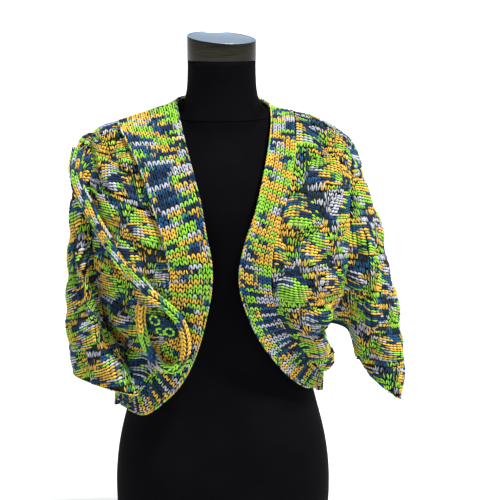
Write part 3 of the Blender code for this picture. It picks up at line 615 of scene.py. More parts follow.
class Cloth:
    """A knitted piece's middle surface, which answers for any place across and up."""

    def __init__(self, name, grid, wall, wrap=False, lace=True):
        self.name, self.wall, self.wrap, self.lace = name, wall, wrap, lace
        fine = refine(grid, FINE_STEPS, wrap)
        window = edge_window(fine.shape[:2], wrap)
        if name in FOLDS:
            across, up = lengths(fine, wrap)
            height = fold_height(across, up, FOLDS[name]) * window
            fine = fine + outward_normals(fine, wrap) * height[..., None]
        if name in LAPEL:
            fine = fine + lapel_shift(fine, outward_normals(fine, wrap), *LAPEL[name])
        self.middle = fine
        self.normals = outward_normals(fine, wrap)
        self.measure()
        self.lift = np.zeros(fine.shape[:2])
        if lace:
            share = np.clip(lobe_share(self.across, self.up), 0, 1)
            lobe_height = SLEEVE_LOBE_HEIGHT if wrap else LOBE_HEIGHT
            self.lift = lobe_height * np.sqrt(share) * window * self.away_from_seam()

    def measure(self):
        """Where each point of the grid lies on the fabric, across and up, in millimetres."""
        self.across, self.up = lengths(self.middle, self.wrap)
        self.rows_up = self.up.mean(axis=1)
        self.flat_size = (float(np.ptp(self.across, axis=1).max()), float(self.rows_up[-1]))

    def away_from_seam(self):
        """How much of the lobes' height stays; only a sleeve has a seam to keep clear of."""
        return 1.0

    def limits(self, y):
        """The fabric's left and right end at a height up the piece."""
        return (np.interp(y, self.rows_up, self.across[:, 0]),
                np.interp(y, self.rows_up, self.across[:, -1]))

    def row_heights(self, course):
        """How far up each row of stitches is, and the step between them."""
        rows = max(1, round(self.rows_up[-1] / course))
        step = self.rows_up[-1] / rows
        return (np.arange(rows) + 0.5) * step, step

    def row_stitches(self, y, wale):
        """Column numbers of the stitches in a row, and how far across each one is."""
        low, high = self.limits(y)
        columns = np.arange(math.ceil(low / wale - ROW_ROOM), math.floor(high / wale + ROW_ROOM) + 1)
        return columns, np.clip(columns * wale, low + wale * ROW_MARGIN, high - wale * ROW_MARGIN)

    def lookup(self, x, y, field):
        """A field's values at places across and up, between the grid's own points."""
        v = np.interp(y, self.rows_up, np.arange(len(self.rows_up)))
        i = np.minimum(v.astype(int), len(self.rows_up) - 2)
        f = (v - i)[:, None]
        out = np.empty((len(x), field.shape[-1]))
        for row in range(len(self.rows_up) - 1):
            at = np.nonzero(i == row)[0]
            if not len(at):
                continue
            ends = [np.stack([np.interp(x[at], self.across[side], field[side][:, k])
                              for k in range(field.shape[-1])], axis=-1) for side in (row, row + 1)]
            out[at] = ends[0] * (1 - f[at]) + ends[1] * f[at]
        return out

    def near_edge(self, x, y):
        """How far it is from a place to the nearest edge."""
        low, high = self.limits(y)
        return np.minimum(np.minimum(x - low, high - x), np.minimum(y, self.rows_up[-1] - y))

    def waved(self, x, y):
        """Places shifted by the band's slope, or by the lace, which fades out towards the edges."""
        if self.name in ROW_SLOPE:
            steep, start, end = ROW_SLOPE[self.name]
            share = np.clip((y / self.rows_up[-1] - start) / (end - start), 0, 1)
            y = y - steep * x * np.sin(math.pi * share) ** 2
        if not self.lace:
            return x, y
        fade = np.clip(self.near_edge(x, y) / WAVE_FADE, 0, 1)
        across, up = lobe_places(x, y)
        drop = (np.clip(across + 0.5, 0, 1) ** DROP_SHAPE - DROP_MEAN) * np.cos(math.pi * up)
        spread = np.sin(2 * math.pi * across) * np.sin(math.pi * up)
        return x - COLUMN_WAVE * spread * fade, y - self.drop_sign(x) * ROW_DROP * drop * fade

    def drop_sign(self, x):
        """Which way the rows drop over a lobe."""
        return 1.0

    def at(self, x, y, height):
        """Points at a height over the middle surface, after the lace's shifts."""
        wx, wy = self.waved(x, y)
        field = np.concatenate([self.middle, self.normals, self.lift[..., None]], axis=-1)
        found = self.lookup(wx, wy, field)
        return found[:, :3] + unit(found[:, 3:6]) * (height + found[:, 6:7])


# %% [markdown]
# ## A sleeve's flat pattern
#
# A sleeve is knitted flat and sewn up under the arm, so its rows run across its flat pattern. The
# tube is cut open under the arm and laid flat by Blender's own unwrapping, which keeps angles and
# nearly keeps lengths. The pattern is then turned so that the sleeve's outer line stands
# upright, and scaled to millimetres. A stitch's place on the pattern leads to the triangle that
# it lies in, and from there to its place on the sleeve.


# %% Lay a sleeve flat
def flat_pattern(opened):
    """A place in millimetres on the flat pattern for each point of a tube that is cut open."""
    rows, columns = opened.shape[:2]
    mesh = bpy.data.meshes.new("pattern")
    quads = [(a, a + 1, a + columns + 1, a + columns)
             for a in (i * columns + j for i in range(rows - 1) for j in range(columns - 1))]
    mesh.from_pydata(opened.reshape(-1, 3).tolist(), [], quads)
    pattern = add_object("pattern", mesh)
    pick(pattern)
    bpy.ops.object.mode_set(mode="EDIT")
    bpy.ops.mesh.select_all(action="SELECT")
    bpy.ops.uv.unwrap(method="ANGLE_BASED", margin=0.0)
    bpy.ops.object.mode_set(mode="OBJECT")
    corners = np.empty(len(mesh.loops), np.int32)
    mesh.loops.foreach_get("vertex_index", corners)
    uv = np.empty((len(mesh.loops), 2), np.float32)
    mesh.uv_layers.active.data.foreach_get("uv", uv.ravel())
    flat = np.empty((rows * columns, 2))
    flat[corners] = uv
    flat = flat.reshape(rows, columns, 2)
    bpy.data.objects.remove(pattern, do_unlink=True)
    step = np.linalg.norm(np.diff(opened, axis=1), axis=2).sum()
    flat *= step / np.linalg.norm(np.diff(flat, axis=1), axis=2).sum()
    outer = columns // 2
    upright = unit(flat[0, outer] - flat[-1, outer])
    flat = flat @ np.array([[upright[1], upright[0]], [-upright[0], upright[1]]])
    if flat[0, -1, 0] < flat[0, 0, 0]:
        flat[..., 0] *= -1
    flat[..., 0] -= flat[:, outer, 0].mean()
    flat[..., 1] -= flat[..., 1].min()
    return flat


class Sleeve(Cloth):
    """A knitted tube, whose places are measured on its flat pattern."""

    def open_up(self, field):
        """A field of the tube's points, from under the arm round and back to under the arm."""
        under = field.shape[1] // 2
        rolled = np.roll(field, -under, axis=1)
        return np.concatenate([rolled, rolled[:, :1]], axis=1)

    def measure(self):
        self.flat = flat_pattern(self.open_up(self.middle))
        rows, columns = self.flat.shape[:2]
        closed = np.roll(self.flat[:, :-1], (columns - 1) // 2, axis=1)
        self.across, self.up = closed[..., 0], closed[..., 1]
        self.flat_size = tuple(float(np.ptp(self.flat[..., k])) for k in (0, 1))
        first = (np.arange(rows - 1)[:, None] * columns + np.arange(columns - 1)).ravel()
        self.triangles = np.concatenate([np.stack([first, first + 1, first + columns + 1], axis=1),
                                         np.stack([first, first + columns + 1, first + columns], axis=1)])
        places = np.c_[self.flat.reshape(-1, 2), np.zeros(rows * columns)]
        self.tree = BVHTree.FromPolygons(places.tolist(), self.triangles.tolist())
        self.places = places[:, :2]

    def away_from_seam(self):
        """Zero along the seam under the arm, one away from it."""
        columns = self.middle.shape[1]
        off = np.abs(np.arange(columns) - columns // 2) / EDGE_REACH
        return np.clip(off, 0, 1)[None]

    def row_heights(self, course):
        rows = round(self.flat_size[1] / course)
        step = self.flat_size[1] / rows
        return (np.arange(rows) + 0.5) * step, step

    def row_stitches(self, y, wale):
        reach = math.ceil(self.flat_size[0] / wale)
        columns = np.arange(-reach, reach + 1)
        hits = [self.tree.ray_cast(Vector((c * wale, y, 1)), Vector((0, 0, -1)))[2] for c in columns]
        columns = columns[[hit is not None for hit in hits]]
        return columns, columns * wale

    def lookup(self, x, y, field):
        values = self.open_up(field).reshape(-1, field.shape[-1])
        hits = [self.tree.find_nearest(Vector((a, b, 0))) for a, b in zip(x, y)]
        corners = self.triangles[[hit[2] for hit in hits]]
        spots = np.array([hit[0][:2] for hit in hits])
        a, b, c = (self.places[corners[:, k]] for k in range(3))
        whole = np.cross(b - a, c - a)
        second = np.cross(spots - a, c - a) / whole
        third = np.cross(b - a, spots - a) / whole
        return (values[corners[:, 0]] * (1 - second - third)[:, None]
                + values[corners[:, 1]] * second[:, None] + values[corners[:, 2]] * third[:, None])

    def near_edge(self, x, y):
        return np.full(len(x), WAVE_FADE)

    def waved(self, x, y):
        """The lace's shifts, and the slope of the rows on both sides of the outer line."""
        x, y = super().waved(x, y)
        off_line = np.hypot(x, SLEEVE_TURN) - self.flat_size[0] / 4
        share = np.sin(math.pi * np.clip(y / self.flat_size[1], 0, 1)) ** 2
        return x, y + SLEEVE_SLOPE * off_line * share

    def drop_sign(self, x):
        return -1.0


cloths = {}
for name, grid in grids.items():
    kind = Sleeve if name.startswith("sleeve") else Cloth
    is_band = name.startswith("band")
    cloths[name] = kind(name, grid, BAND_WALL if is_band else WALL, wrap=kind is Sleeve, lace=not is_band)
print("flat sizes in mm:", {name: [round(s) for s in c.flat_size] for name, c in cloths.items()})

# %% [markdown]
# ## The yarn and its colours
#
# The yarn was dyed in stretches, so its colour changes every few stitches, and the knitting shows
# short dashes that gather into patches. Painting patches would look false. Here one long yarn is
# dyed first, and the stitches take its colours in the order in which a knitter works them, to
# and fro, row after row. The patches then come out by themselves.

# %% Dye the yarn
DYE = {
    "navy": (0.0040, 0.032, 0.100),
    "blue": (0.011, 0.095, 0.250),
    "grey": (0.600, 0.620, 0.700),
    "lime": (0.360, 0.760, 0.062),
    "gold": (0.960, 0.580, 0.075),
    "teal": (0.050, 0.250, 0.170),
}
DYE_ORDER = (
    ("gold", 5), ("navy", 3), ("lime", 4), ("grey", 4), ("navy", 2), ("blue", 2), ("lime", 4),
    ("gold", 4), ("grey", 3), ("navy", 3), ("gold", 3), ("teal", 1), ("lime", 3), ("blue", 3),
)
# The dyer's hand: over this many stitches the cool lengths grow and shrink by this share, and
# each length is off by up to this many stitches
COOL_DYES = ("navy", "blue", "grey", "teal")
DYE_PERIOD, DYE_SWING, DYE_SLIP = 420, 0.55, 1.2
DYE_SHADE, STITCH_SHADE = 0.08, 0.06
YARN_STITCHES, HALVES = 9000, 2
random = np.random.default_rng(7)


def dye_yarn(stitches):
    """The colour of each half stitch along one long yarn."""
    colours = []
    while len(colours) < stitches * HALVES:
        for name, length in DYE_ORDER:
            swing = DYE_SWING * math.sin(2 * math.pi * len(colours) / (DYE_PERIOD * HALVES))
            length *= 1 + (swing if name in COOL_DYES else -swing)
            halves = max(1, round((length + random.uniform(-DYE_SLIP, DYE_SLIP)) * HALVES))
            colours.extend([DYE[name]] * halves)
    colours = np.array(colours)
    soft = (colours + np.roll(colours, 1, axis=0)) / 2
    return np.clip(soft * random.normal(1.0, DYE_SHADE, (len(soft), 1)), 0, 1)


yarn_dye = dye_yarn(YARN_STITCHES)
print("dyed", len(yarn_dye) // HALVES, "stitches of yarn, mean colour", yarn_dye.mean(axis=0).round(3))

# %% [markdown]
# ## The yarn's material
#
# Close up, the yarn is several thin strands twisted together, matt and a little hairy. The colour
# is read from an attribute that each stitch carries. The twist is a band pattern across the
# stitch's own UV map, tilted so that the strands wind round. It bumps the surface, and it darkens
# the colour in the furrows between the strands as painted shade. A little sheen stands for the fine hairs.


# %% Yarn material
def set_inputs(node, values):
    """Values for a node's inputs by name, with an underscore for each space."""
    for name, value in values.items():
        node.inputs[name.replace("_", " ")].default_value = value


def principled(name, colour, roughness, **values):
    """A material and its Principled shader."""
    made = bpy.data.materials.new(name)
    made.use_nodes = True
    shader = made.node_tree.nodes["Principled BSDF"]
    set_inputs(shader, {"Base_Color": (*colour, 1.0), "Roughness": roughness, **values})
    return made, shader


def add_node(owner, kind, **values):
    """A new shader node of a material or of the world."""
    node = owner.node_tree.nodes.new("ShaderNode" + kind)
    set_inputs(node, values)
    return node


def wire(owner, *wires):
    """Links, each from a node's output to a node's input."""
    for source, output, target, entry in wires:
        owner.node_tree.links.new(source.outputs[output], target.inputs[entry])


def add_bump(owner, shader, source, output, strength, distance, invert=False):
    """Bumps a shader's surface by what another node gives."""
    bump = add_node(owner, "Bump", Strength=strength, Distance=distance)
    bump.invert = invert
    wire(owner, (source, output, bump, "Height"), (bump, "Normal", shader, "Normal"))


def uv_map(owner, name):
    node = add_node(owner, "UVMap")
    node.uv_map = name
    return node


def yarn_material(name):
    """Twisted yarn in the colour that each stitch carries, with painted shade in the furrows between its
    strands.
    """
    made, shader = principled(name, DYE["gold"], 0.78, Sheen_Weight=0.05, Sheen_Roughness=0.5,
                              Specular_IOR_Level=0.2)
    colour = add_node(made, "Attribute")
    colour.attribute_name = "yarn"
    spot = uv_map(made, "along_yarn")
    turn = add_node(made, "Mapping", Rotation=(0, 0, math.radians(38)))
    twist = add_node(made, "TexWave", Scale=3.0, Distortion=0.6)
    # Painted shade: the twist's furrows between the strands darken the yarn's colour
    furrow_shade = add_node(made, "MapRange", To_Min=0.72, To_Max=1.0)
    darken = add_node(made, "Mix")
    darken.data_type = "RGBA"
    darken.blend_type = "MULTIPLY"
    darken.inputs["Factor"].default_value = 1.0
    wire(made, (spot, "UV", turn, "Vector"), (turn, "Vector", twist, "Vector"),
         (twist, "Fac", furrow_shade, "Value"), (colour, "Color", darken, "A"),
         (furrow_shade, "Result", darken, "B"), (darken, "Result", shader, "Base Color"))
    add_bump(made, shader, twist, "Fac", 0.5, 0.0006)
    return made


yarn = yarn_material("variegated_yarn")
print("made", yarn.name)

# %% [markdown]
# ## One leg of a stitch, modelled once
#
# A knit stitch looks like a V with two plump legs, and a purl stitch like a short bow. All three
# are the same short piece of yarn, thick in the middle and tucked away at both ends. A sphere
# with few faces, laid on its side, is that piece. There are tens of thousands of them, so each
# has only a couple of dozen triangles.


# %% Model the leg and read its points
def model_leg(segments, rings):
    """A spindle of yarn along X, one long, one wide and one thick, as arrays."""
    bpy.ops.object.select_all(action="DESELECT")
    bpy.ops.mesh.primitive_uv_sphere_add(segments=segments, ring_count=rings, radius=0.5)
    leg = bpy.context.object
    bpy.ops.object.mode_set(mode="EDIT")
    bpy.ops.mesh.select_all(action="SELECT")
    bpy.ops.transform.rotate(value=math.pi / 2, orient_axis="Y", center_override=(0, 0, 0))
    bpy.ops.object.mode_set(mode="OBJECT")
    mesh = leg.data
    points = np.array([v.co for v in mesh.vertices])
    faces = [tuple(face.vertices) for face in mesh.polygons]
    uv = np.array([loop.uv for loop in mesh.uv_layers.active.data])
    bpy.data.objects.remove(leg, do_unlink=True)
    return points, faces, uv


leg_shapes = {"fine": model_leg(4, 4), "full": model_leg(6, 4)}
print("triangles in a leg:", {k: sum(len(f) - 2 for f in v[1]) for k, v in leg_shapes.items()})

# %% [markdown]
# ## Stitches from the leg
#
# Each stitch is bent into its place within its own small frame: how far across, how far up and how
# high over the cloth. The two legs of a knit stitch lean apart and overlap the stitch above. The
# bow of a purl stitch lies across and its ends dip. The numbers are shares of a stitch's width and
# height and of its yarn's thickness.


# %% Bend the leg into a knit stitch and a purl stitch
# How far apart a stitch's legs are and how plump, in stitch widths: on the wide band every fourth
# stitch stands open round a small hole, and in the net between the lobes every second one, whose
# third number is the legs' reach
PLAIN_LEGS, OPEN_LEGS = (0.235, 0.43), (0.30, 0.33)
NET_LEGS, OPEN_NET_LEGS = (0.24, 0.46, 1.15), (0.33, 0.40, 1.15)


def knit_legs(shape, apart, plump, reach=1.30):
    """Both legs of a V: across and up in stitch sizes, height in yarn widths."""
    points, faces, uv = shape
    parts = []
    for sign in (-1, 1):
        along, side, thick = points[:, 0], points[:, 1], points[:, 2]
        across = sign * (apart + 0.26 * along) + side * plump
        up = 0.10 + reach * along + 0.12 * sign * side
        height = thick * 0.9 + 0.35 - 0.7 * along - 1.3 * along ** 2
        parts.append((np.stack([across, up, height], axis=1), faces, uv))
    return parts


def purl_bow(shape):
    """The bow of a purl stitch, which lies across the column."""
    points, faces, uv = shape
    along, side, thick = points[:, 0], points[:, 1], points[:, 2]
    across = along * 1.2
    up = side * 0.88 + 0.18 - 1.1 * along ** 2
    height = thick * 0.85 + 0.45 - 1.7 * along ** 2
    return [(np.stack([across, up, height], axis=1), faces, uv)]


def joined_mesh(name, points, faces, uvs, colours, finish):
    """One mesh from arrays, with its UV map and its yarn colours."""
    mesh = bpy.data.meshes.new(name)
    counts = np.array([len(face) for face in faces], np.int32)
    flat = np.concatenate([np.asarray(face, np.int32) for face in faces])
    mesh.vertices.add(len(points))
    mesh.vertices.foreach_set("co", (points * MM).astype(np.float32).ravel())
    mesh.loops.add(len(flat))
    mesh.loops.foreach_set("vertex_index", flat)
    mesh.polygons.add(len(counts))
    mesh.polygons.foreach_set("loop_start", np.concatenate([[0], np.cumsum(counts)[:-1]]).astype(np.int32))
    mesh.polygons.foreach_set("loop_total", counts)
    mesh.update(calc_edges=True)
    mesh.validate()
    layer = mesh.uv_layers.new(name="along_yarn")
    layer.data.foreach_set("uv", uvs.astype(np.float32).ravel())
    dye = mesh.attributes.new("yarn", "FLOAT_COLOR", "POINT")
    dye.data.foreach_set("color", np.c_[colours, np.ones(len(colours))].astype(np.float32).ravel())
    mesh.materials.append(finish)
    mesh.shade_smooth()
    return add_object(name, mesh)


class Knitting:
    """Gathers stitches until they are joined into one mesh."""

    def __init__(self):
        self.points, self.faces, self.uvs, self.colours = [], [], [], []
        self.count = 0

    def add(self, parts, origin, across, up, out, dye):
        """Copies of a stitch's parts in the frames given; dye has a colour for each part."""
        for part, (shape, faces, uv) in enumerate(parts):
            placed = (origin[:, None] + across[:, None] * shape[None, :, :1]
                      + up[:, None] * shape[None, :, 1:2] + out[:, None] * shape[None, :, 2:])
            starts = self.count + np.arange(len(origin)) * len(shape)
            self.points.append(placed.reshape(-1, 3))
            for start in starts:
                self.faces.extend([[start + v for v in face] for face in faces])
            self.uvs.append(np.tile(uv, (len(origin), 1)))
            self.colours.append(np.repeat(dye[:, part], len(shape), axis=0))
            self.count += len(origin) * len(shape)

    def join(self, name, finish):
        return joined_mesh(name, np.concatenate(self.points), self.faces,
                           np.concatenate(self.uvs), np.concatenate(self.colours), finish)


print("a knit stitch has", len(knit_legs(leg_shapes["fine"], *PLAIN_LEGS)), "parts")

# %% [markdown]
# ## Thin cloth under the stitches
#
# Between stitches you look into the shade under them. A thin closed cloth under the stitches
# gives that: its outside is painted shade, the purl colours darkened almost to black. Its inside
# is what someone sees in a sleeve or behind the neck: the purl side, rows of small bumps in the
# yarn's colours. The cloth's UV map counts stitches, so a pattern on that map has one bump for
# each stitch, and its colours run along the rows, not across them.

# %% Cloth materials
# Where the purl side's colours start along the noise that picks them; the painted shade under the stitches
# uses the same colours, darkened
PURL_PATCHES = ((0.0, "navy"), (0.38, "lime"), (0.47, "gold"), (0.54, "grey"), (0.60, "blue"),
                (0.67, "lime"))


def ramp_of(owner, stops, interpolation="LINEAR"):
    """A colour ramp with a colour at each position."""
    ramp = add_node(owner, "ValToRGB")
    ramp.color_ramp.interpolation = interpolation
    while len(ramp.color_ramp.elements) < len(stops):
        ramp.color_ramp.elements.new(0.5)
    for element, (position, colour) in zip(ramp.color_ramp.elements, stops):
        element.position = position
        element.color = (*colour, 1.0)
    return ramp


def purl_side_material(name, brightness):
    """Rows of bumps whose colour changes every few stitches along a row, scaled by brightness; a
    brightness near zero makes painted shade.
    """
    made, shader = principled(name, DYE["grey"], 0.88, Specular_IOR_Level=0.05)
    spot = uv_map(made, "stitch_count")
    row_wise = add_node(made, "VectorMath")
    row_wise.operation = "SNAP"
    row_wise.inputs[1].default_value = (1.0, 1.0, 1.0)
    stretch = add_node(made, "Mapping", Scale=(0.19, 0.83, 1.0))
    patch = add_node(made, "TexNoise", Scale=1.0, Detail=0.0)
    stops = [(at, tuple(c * brightness for c in DYE[dye])) for at, dye in PURL_PATCHES]
    ramp = ramp_of(made, stops, "CONSTANT")
    bumps = add_node(made, "TexVoronoi", Scale=1.0, Randomness=0.25)
    wire(made, (spot, "UV", row_wise, 0), (row_wise, "Vector", stretch, "Vector"),
         (stretch, "Vector", patch, "Vector"), (patch, "Fac", ramp, "Fac"),
         (ramp, "Color", shader, "Base Color"), (spot, "UV", bumps, "Vector"))
    add_bump(made, shader, bumps, "Distance", 0.9, 0.0016, invert=True)
    return made


# The outside of every cloth: the purl colours darkened almost to black, as painted shade between the
# stitches
shade_under_stitches = purl_side_material("painted_shade_under_stitches", 0.03)
cloth_inside = purl_side_material("purl_side", 0.85)


# %% Build the cloth of each piece
# Width and height of a stitch, and how high its yarn stands over the cloth
PANEL_STITCH = (6.1, 4.2, 2.6)
BAND_STITCH = (6.9, 6.2, 3.2)
STITCH_SIZES = {WIDE_BAND: (7.6, 7.9, 3.4), "band_left": BAND_STITCH,
                "band_neck": BAND_STITCH, "band_hem": BAND_STITCH}
# How far over the middle surface the outer side of the thin cloth lies
CLOTH_UNDER = 0.2


def cloth_faces(rows, columns, wrap):
    """Faces of a closed thin wall: the outside ones first, then the inside ones and the rim."""
    outside, inside = [], []
    shift = rows * columns
    last = columns if wrap else columns - 1
    for i in range(rows - 1):
        for j in range(last):
            a = i * columns + j
            b = i * columns + (j + 1) % columns
            outside.append((a, b, b + columns, a + columns))
            inside.append((shift + a + columns, shift + b + columns, shift + b, shift + a))
    top = (rows - 1) * columns
    rim = [(j, (j + 1) % columns) for j in range(last)]
    rim += [(top + (j + 1) % columns, top + j) for j in range(last)]
    if not wrap:
        rim += [((i + 1) * columns, i * columns) for i in range(rows - 1)]
        rim += [(i * columns + columns - 1, (i + 1) * columns + columns - 1) for i in range(rows - 1)]
    rim = [(b, a, a + shift, b + shift) for a, b in rim]
    return outside, inside + rim


def build_cloth(cloth):
    """A piece's thin closed cloth, and the area of one side in square metres."""
    outer = cloth.middle + cloth.normals * (cloth.lift + CLOTH_UNDER)[..., None]
    inner = cloth.middle - cloth.normals * cloth.wall / 2
    rows, columns = outer.shape[:2]
    mesh = bpy.data.meshes.new(cloth.name + "_cloth")
    points = np.concatenate([outer.reshape(-1, 3), inner.reshape(-1, 3)]) * MM
    outside, rest = cloth_faces(rows, columns, cloth.wrap)
    mesh.from_pydata(points.tolist(), [], outside + rest)
    # Outside faces get the painted shade between the stitches, inside faces and rim the purl side
    mesh.materials.append(shade_under_stitches)
    mesh.materials.append(cloth_inside)
    mesh.polygons.foreach_set("material_index", [0] * len(outside) + [1] * len(rest))
    wale, course, _ = STITCH_SIZES.get(cloth.name, PANEL_STITCH)
    counted = np.stack([cloth.across / wale, cloth.up / course], axis=-1).reshape(-1, 2)
    counted = np.concatenate([counted, counted])
    layer = mesh.uv_layers.new(name="stitch_count")
    corners = np.empty(len(mesh.loops), np.int32)
    mesh.loops.foreach_get("vertex_index", corners)
    layer.data.foreach_set("uv", counted[corners].astype(np.float32).ravel())
    mesh.shade_smooth()
    made = add_object(cloth.name + "_cloth", mesh)
    face_outwards(made)
    area = sum(face.area for face in mesh.polygons) / 2
    return made, area


cloth_objects = {}
cloth_areas = {}
for name, cloth in cloths.items():
    cloth_objects[name], cloth_areas[name] = build_cloth(cloth)
print("cloth areas in square metres:", {name: round(area, 4) for name, area in cloth_areas.items()})

# %% [markdown]
# ## Knit every piece
#
# A knitter works rows to and fro. Each row here gets as many stitches as fit across the fabric at
# that height, in columns that run straight up, and the yarn's colours are handed out in that
# order. On the lace pieces the lobes are purl, and a net of tall knit stitches runs between them,
# every second one open. The bands are knit all over in bigger stitches, which point up because
# the bands were knitted from the other end.

# %% The knitting itself
# How many rows share a patch of colour, in turn
PATCH_ROWS = {"panel": (1, 2, 1, 1, 2), "band": (1, 1, 2, 1, 1)}
# The share of a lobe from which its stitches are purl, and how unevenly stitches sit
PURL_FROM, UNEVEN = 0.06, 0.03
# A slanted frame is kept from growing or shrinking past these shares of a stitch
FRAME_SHARES = (0.6, 1.5)
# How much further along the yarn each edge of a piece starts
EDGE_YARN = 211


def stitch_places(cloth, wale, course):
    """Across, up, row, column and yarn order of every stitch of a piece."""
    heights = PATCH_ROWS["panel" if cloth.lace else "band"]
    rows_up, step = cloth.row_heights(course)
    found = []
    worked, worked_by_row, patch = 0, 0, 0
    left_in_patch = heights[0]
    for row, y in enumerate(rows_up):
        if left_in_patch == 0:
            patch += 1
            left_in_patch = heights[patch % len(heights)]
            worked += worked_by_row
        left_in_patch -= 1
        columns, across = cloth.row_stitches(y, wale)
        worked_by_row = len(columns)
        slip = random.integers(-1, 2)
        order = np.arange(len(columns))
        order = order[::-1] if patch % 2 else order
        found.extend(zip(across, [y] * len(columns), [row] * len(columns), columns, worked + order + slip))
    x, y, row, column, order = np.array(found).T
    return x, y, row.astype(int), column.astype(int), np.maximum(order, 0).astype(int), step


def stitch_frames(cloth, x, y, wale, step, height):
    """Each stitch's middle, its way across, its way up and its way out."""
    level = cloth.wall / 2 - height
    middle = cloth.at(x, y, level)
    across = cloth.at(x + wale / 2, y, level) - cloth.at(x - wale / 2, y, level)
    up = cloth.at(x, y + step / 2, level) - cloth.at(x, y - step / 2, level)
    out = unit(np.cross(across, up))
    facing = cloth.lookup(*cloth.waved(x, y), cloth.normals)
    out = out * np.sign(np.sum(out * facing, axis=1))[:, None]
    low, high = FRAME_SHARES
    across = unit(across) * np.clip(np.linalg.norm(across, axis=1), low * wale, high * wale)[:, None]
    up = unit(up) * np.clip(np.linalg.norm(up, axis=1), low * step, high * step)[:, None]
    return middle, across, up, out * height


def yarn_colours(halves):
    """Two colours for each stitch, from its place on the yarn, each a little lighter or darker."""
    halves = halves.astype(int) % (len(yarn_dye) - 1)
    dye = np.stack([yarn_dye[halves], yarn_dye[halves + 1]], axis=1)
    return dye * random.normal(1.0, STITCH_SHADE, (len(halves), HALVES, 1))


def knit_piece(name, start):
    """All the stitches of a piece, joined into one mesh."""
    cloth = cloths[name]
    wale, course, height = STITCH_SIZES.get(name, PANEL_STITCH)
    shape = leg_shapes["fine" if cloth.lace else "full"]
    x, y, row, column, order, step = stitch_places(cloth, wale, course)
    origin, across, up, out = stitch_frames(cloth, x, y, wale, step, height)
    origin = origin + across * random.normal(0, UNEVEN, (len(x), 1))
    origin = origin + up * random.normal(0, UNEVEN, (len(x), 1))
    dye = yarn_colours(start + HALVES * order)
    even_row = row % 2 == 0
    every_second = (column + row // 2) % 2 == 0
    if cloth.lace:
        purl = lobe_share(x, y) > PURL_FROM
        net = ~purl & even_row
        origin[net] += up[net] / 2
        up[net] *= 2
        kinds = ((purl, purl_bow(shape)), (net & ~every_second, knit_legs(shape, *NET_LEGS)),
                 (net & every_second, knit_legs(shape, *OPEN_NET_LEGS)))
    else:
        up = -up
        open_ones = even_row & every_second & (name == WIDE_BAND)
        kinds = ((~open_ones, knit_legs(shape, *PLAIN_LEGS)), (open_ones, knit_legs(shape, *OPEN_LEGS)))
    knitting = Knitting()
    for of_kind, parts in kinds:
        if of_kind.any():
            knitting.add(parts, *(field[of_kind] for field in (origin, across, up, out, dye)))
    for number, edge in enumerate(FREE_EDGES.get(name, ())):
        chain_along(knitting, cloth, edge, start + EDGE_YARN * (number + 1))
    made = knitting.join(name + "_stitches", yarn)
    print(name, len(x), "stitches,", sum(len(f) - 2 for f in knitting.faces), "triangles")
    return made


# %% [markdown]
# ## Finished edges
#
# The free edge of a knitted piece rolls round into a chain of stitches that faces sideways. It
# runs along the front edge and the lower edge of the bands and round each cuff, and it hides the
# thin cloth's rim.

# %% Chains along the free edges
EDGE_STITCH, EDGE_HEIGHT, EDGE_TUCK = 5.4, 2.6, 0.4
# Width of the chain, as a share of the wall, and how far along the yarn its stitches are apart
EDGE_WIDTH, EDGE_DYE_STEP = 0.95, 5
# Where on a surface an edge runs, the line just inside it, and along which side of the grid
EDGE_PLACES = {"first_column": (0, 2, 1), "last_column": (-1, -3, 1), "last_row": (-1, -3, 0)}
FREE_EDGES = {
    "band_left": ("first_column",), "band_right": ("first_column", "last_column"),
    "band_neck": ("first_column",), "band_hem": ("first_column",),
    "sleeve_left": ("last_row",), "sleeve_right": ("last_row",),
}


def edge_lines(cloth, edge):
    """A free edge's points, the points just inside it and the ways out of the fabric there."""
    index, inside, axis = EDGE_PLACES[edge]
    line = np.take(cloth.middle, index, axis=axis)
    away = unit(line - np.take(cloth.middle, inside, axis=axis))
    normal = np.take(cloth.normals, index, axis=axis)
    if cloth.wrap:
        line, away, normal = (np.concatenate([part, part[:1]]) for part in (line, away, normal))
    return line, away, normal


def chain_along(knitting, cloth, edge, start):
    """Knit stitches that follow a free edge and face sideways."""
    line, away, normal = edge_lines(cloth, edge)
    distance = distances(line)
    count = max(2, round(distance[-1] / EDGE_STITCH))
    at = (np.arange(count) + 0.5) * distance[-1] / count
    ahead = unit(between(at, distance, np.gradient(line, axis=0)))
    across = unit(between(at, distance, normal)) * cloth.wall * EDGE_WIDTH
    outward = unit(between(at, distance, away))
    dye = yarn_colours(start + EDGE_DYE_STEP * np.arange(count))
    origin = between(at, distance, line) - outward * EDGE_TUCK
    knitting.add(knit_legs(leg_shapes["full"], *PLAIN_LEGS), origin, across,
                 ahead * distance[-1] / count, outward * EDGE_HEIGHT, dye)


# How much further along the yarn each piece starts
PIECE_YARN = 1226
stitches = {}
for number, name in enumerate(cloths):
    stitches[name] = knit_piece(name, PIECE_YARN * number)

# %% [markdown]
# ## The tie
#
# A ribbed strap comes down from the right shoulder, narrows to a round knitted cord and makes a
# loop, whose end is tucked in below the place where the loop begins. The imported solids lie where
# the tie lies, so the middle of each is found by looking through it from the front and from
# behind. Columns of stitches run round a near-black core, six round the strap and four round
# the cord; the core is painted shade, seen in the gaps between the stitches.

# %% The tie's route
STRAP_WIDTH, STRAP_THICK, CORD_THICK = 20.0, 9.0, 14.0
TIE_STEPS, TIE_FINE = 2, 3
# A plane well in front of everything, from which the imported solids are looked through
LOOK_FROM = -400.0
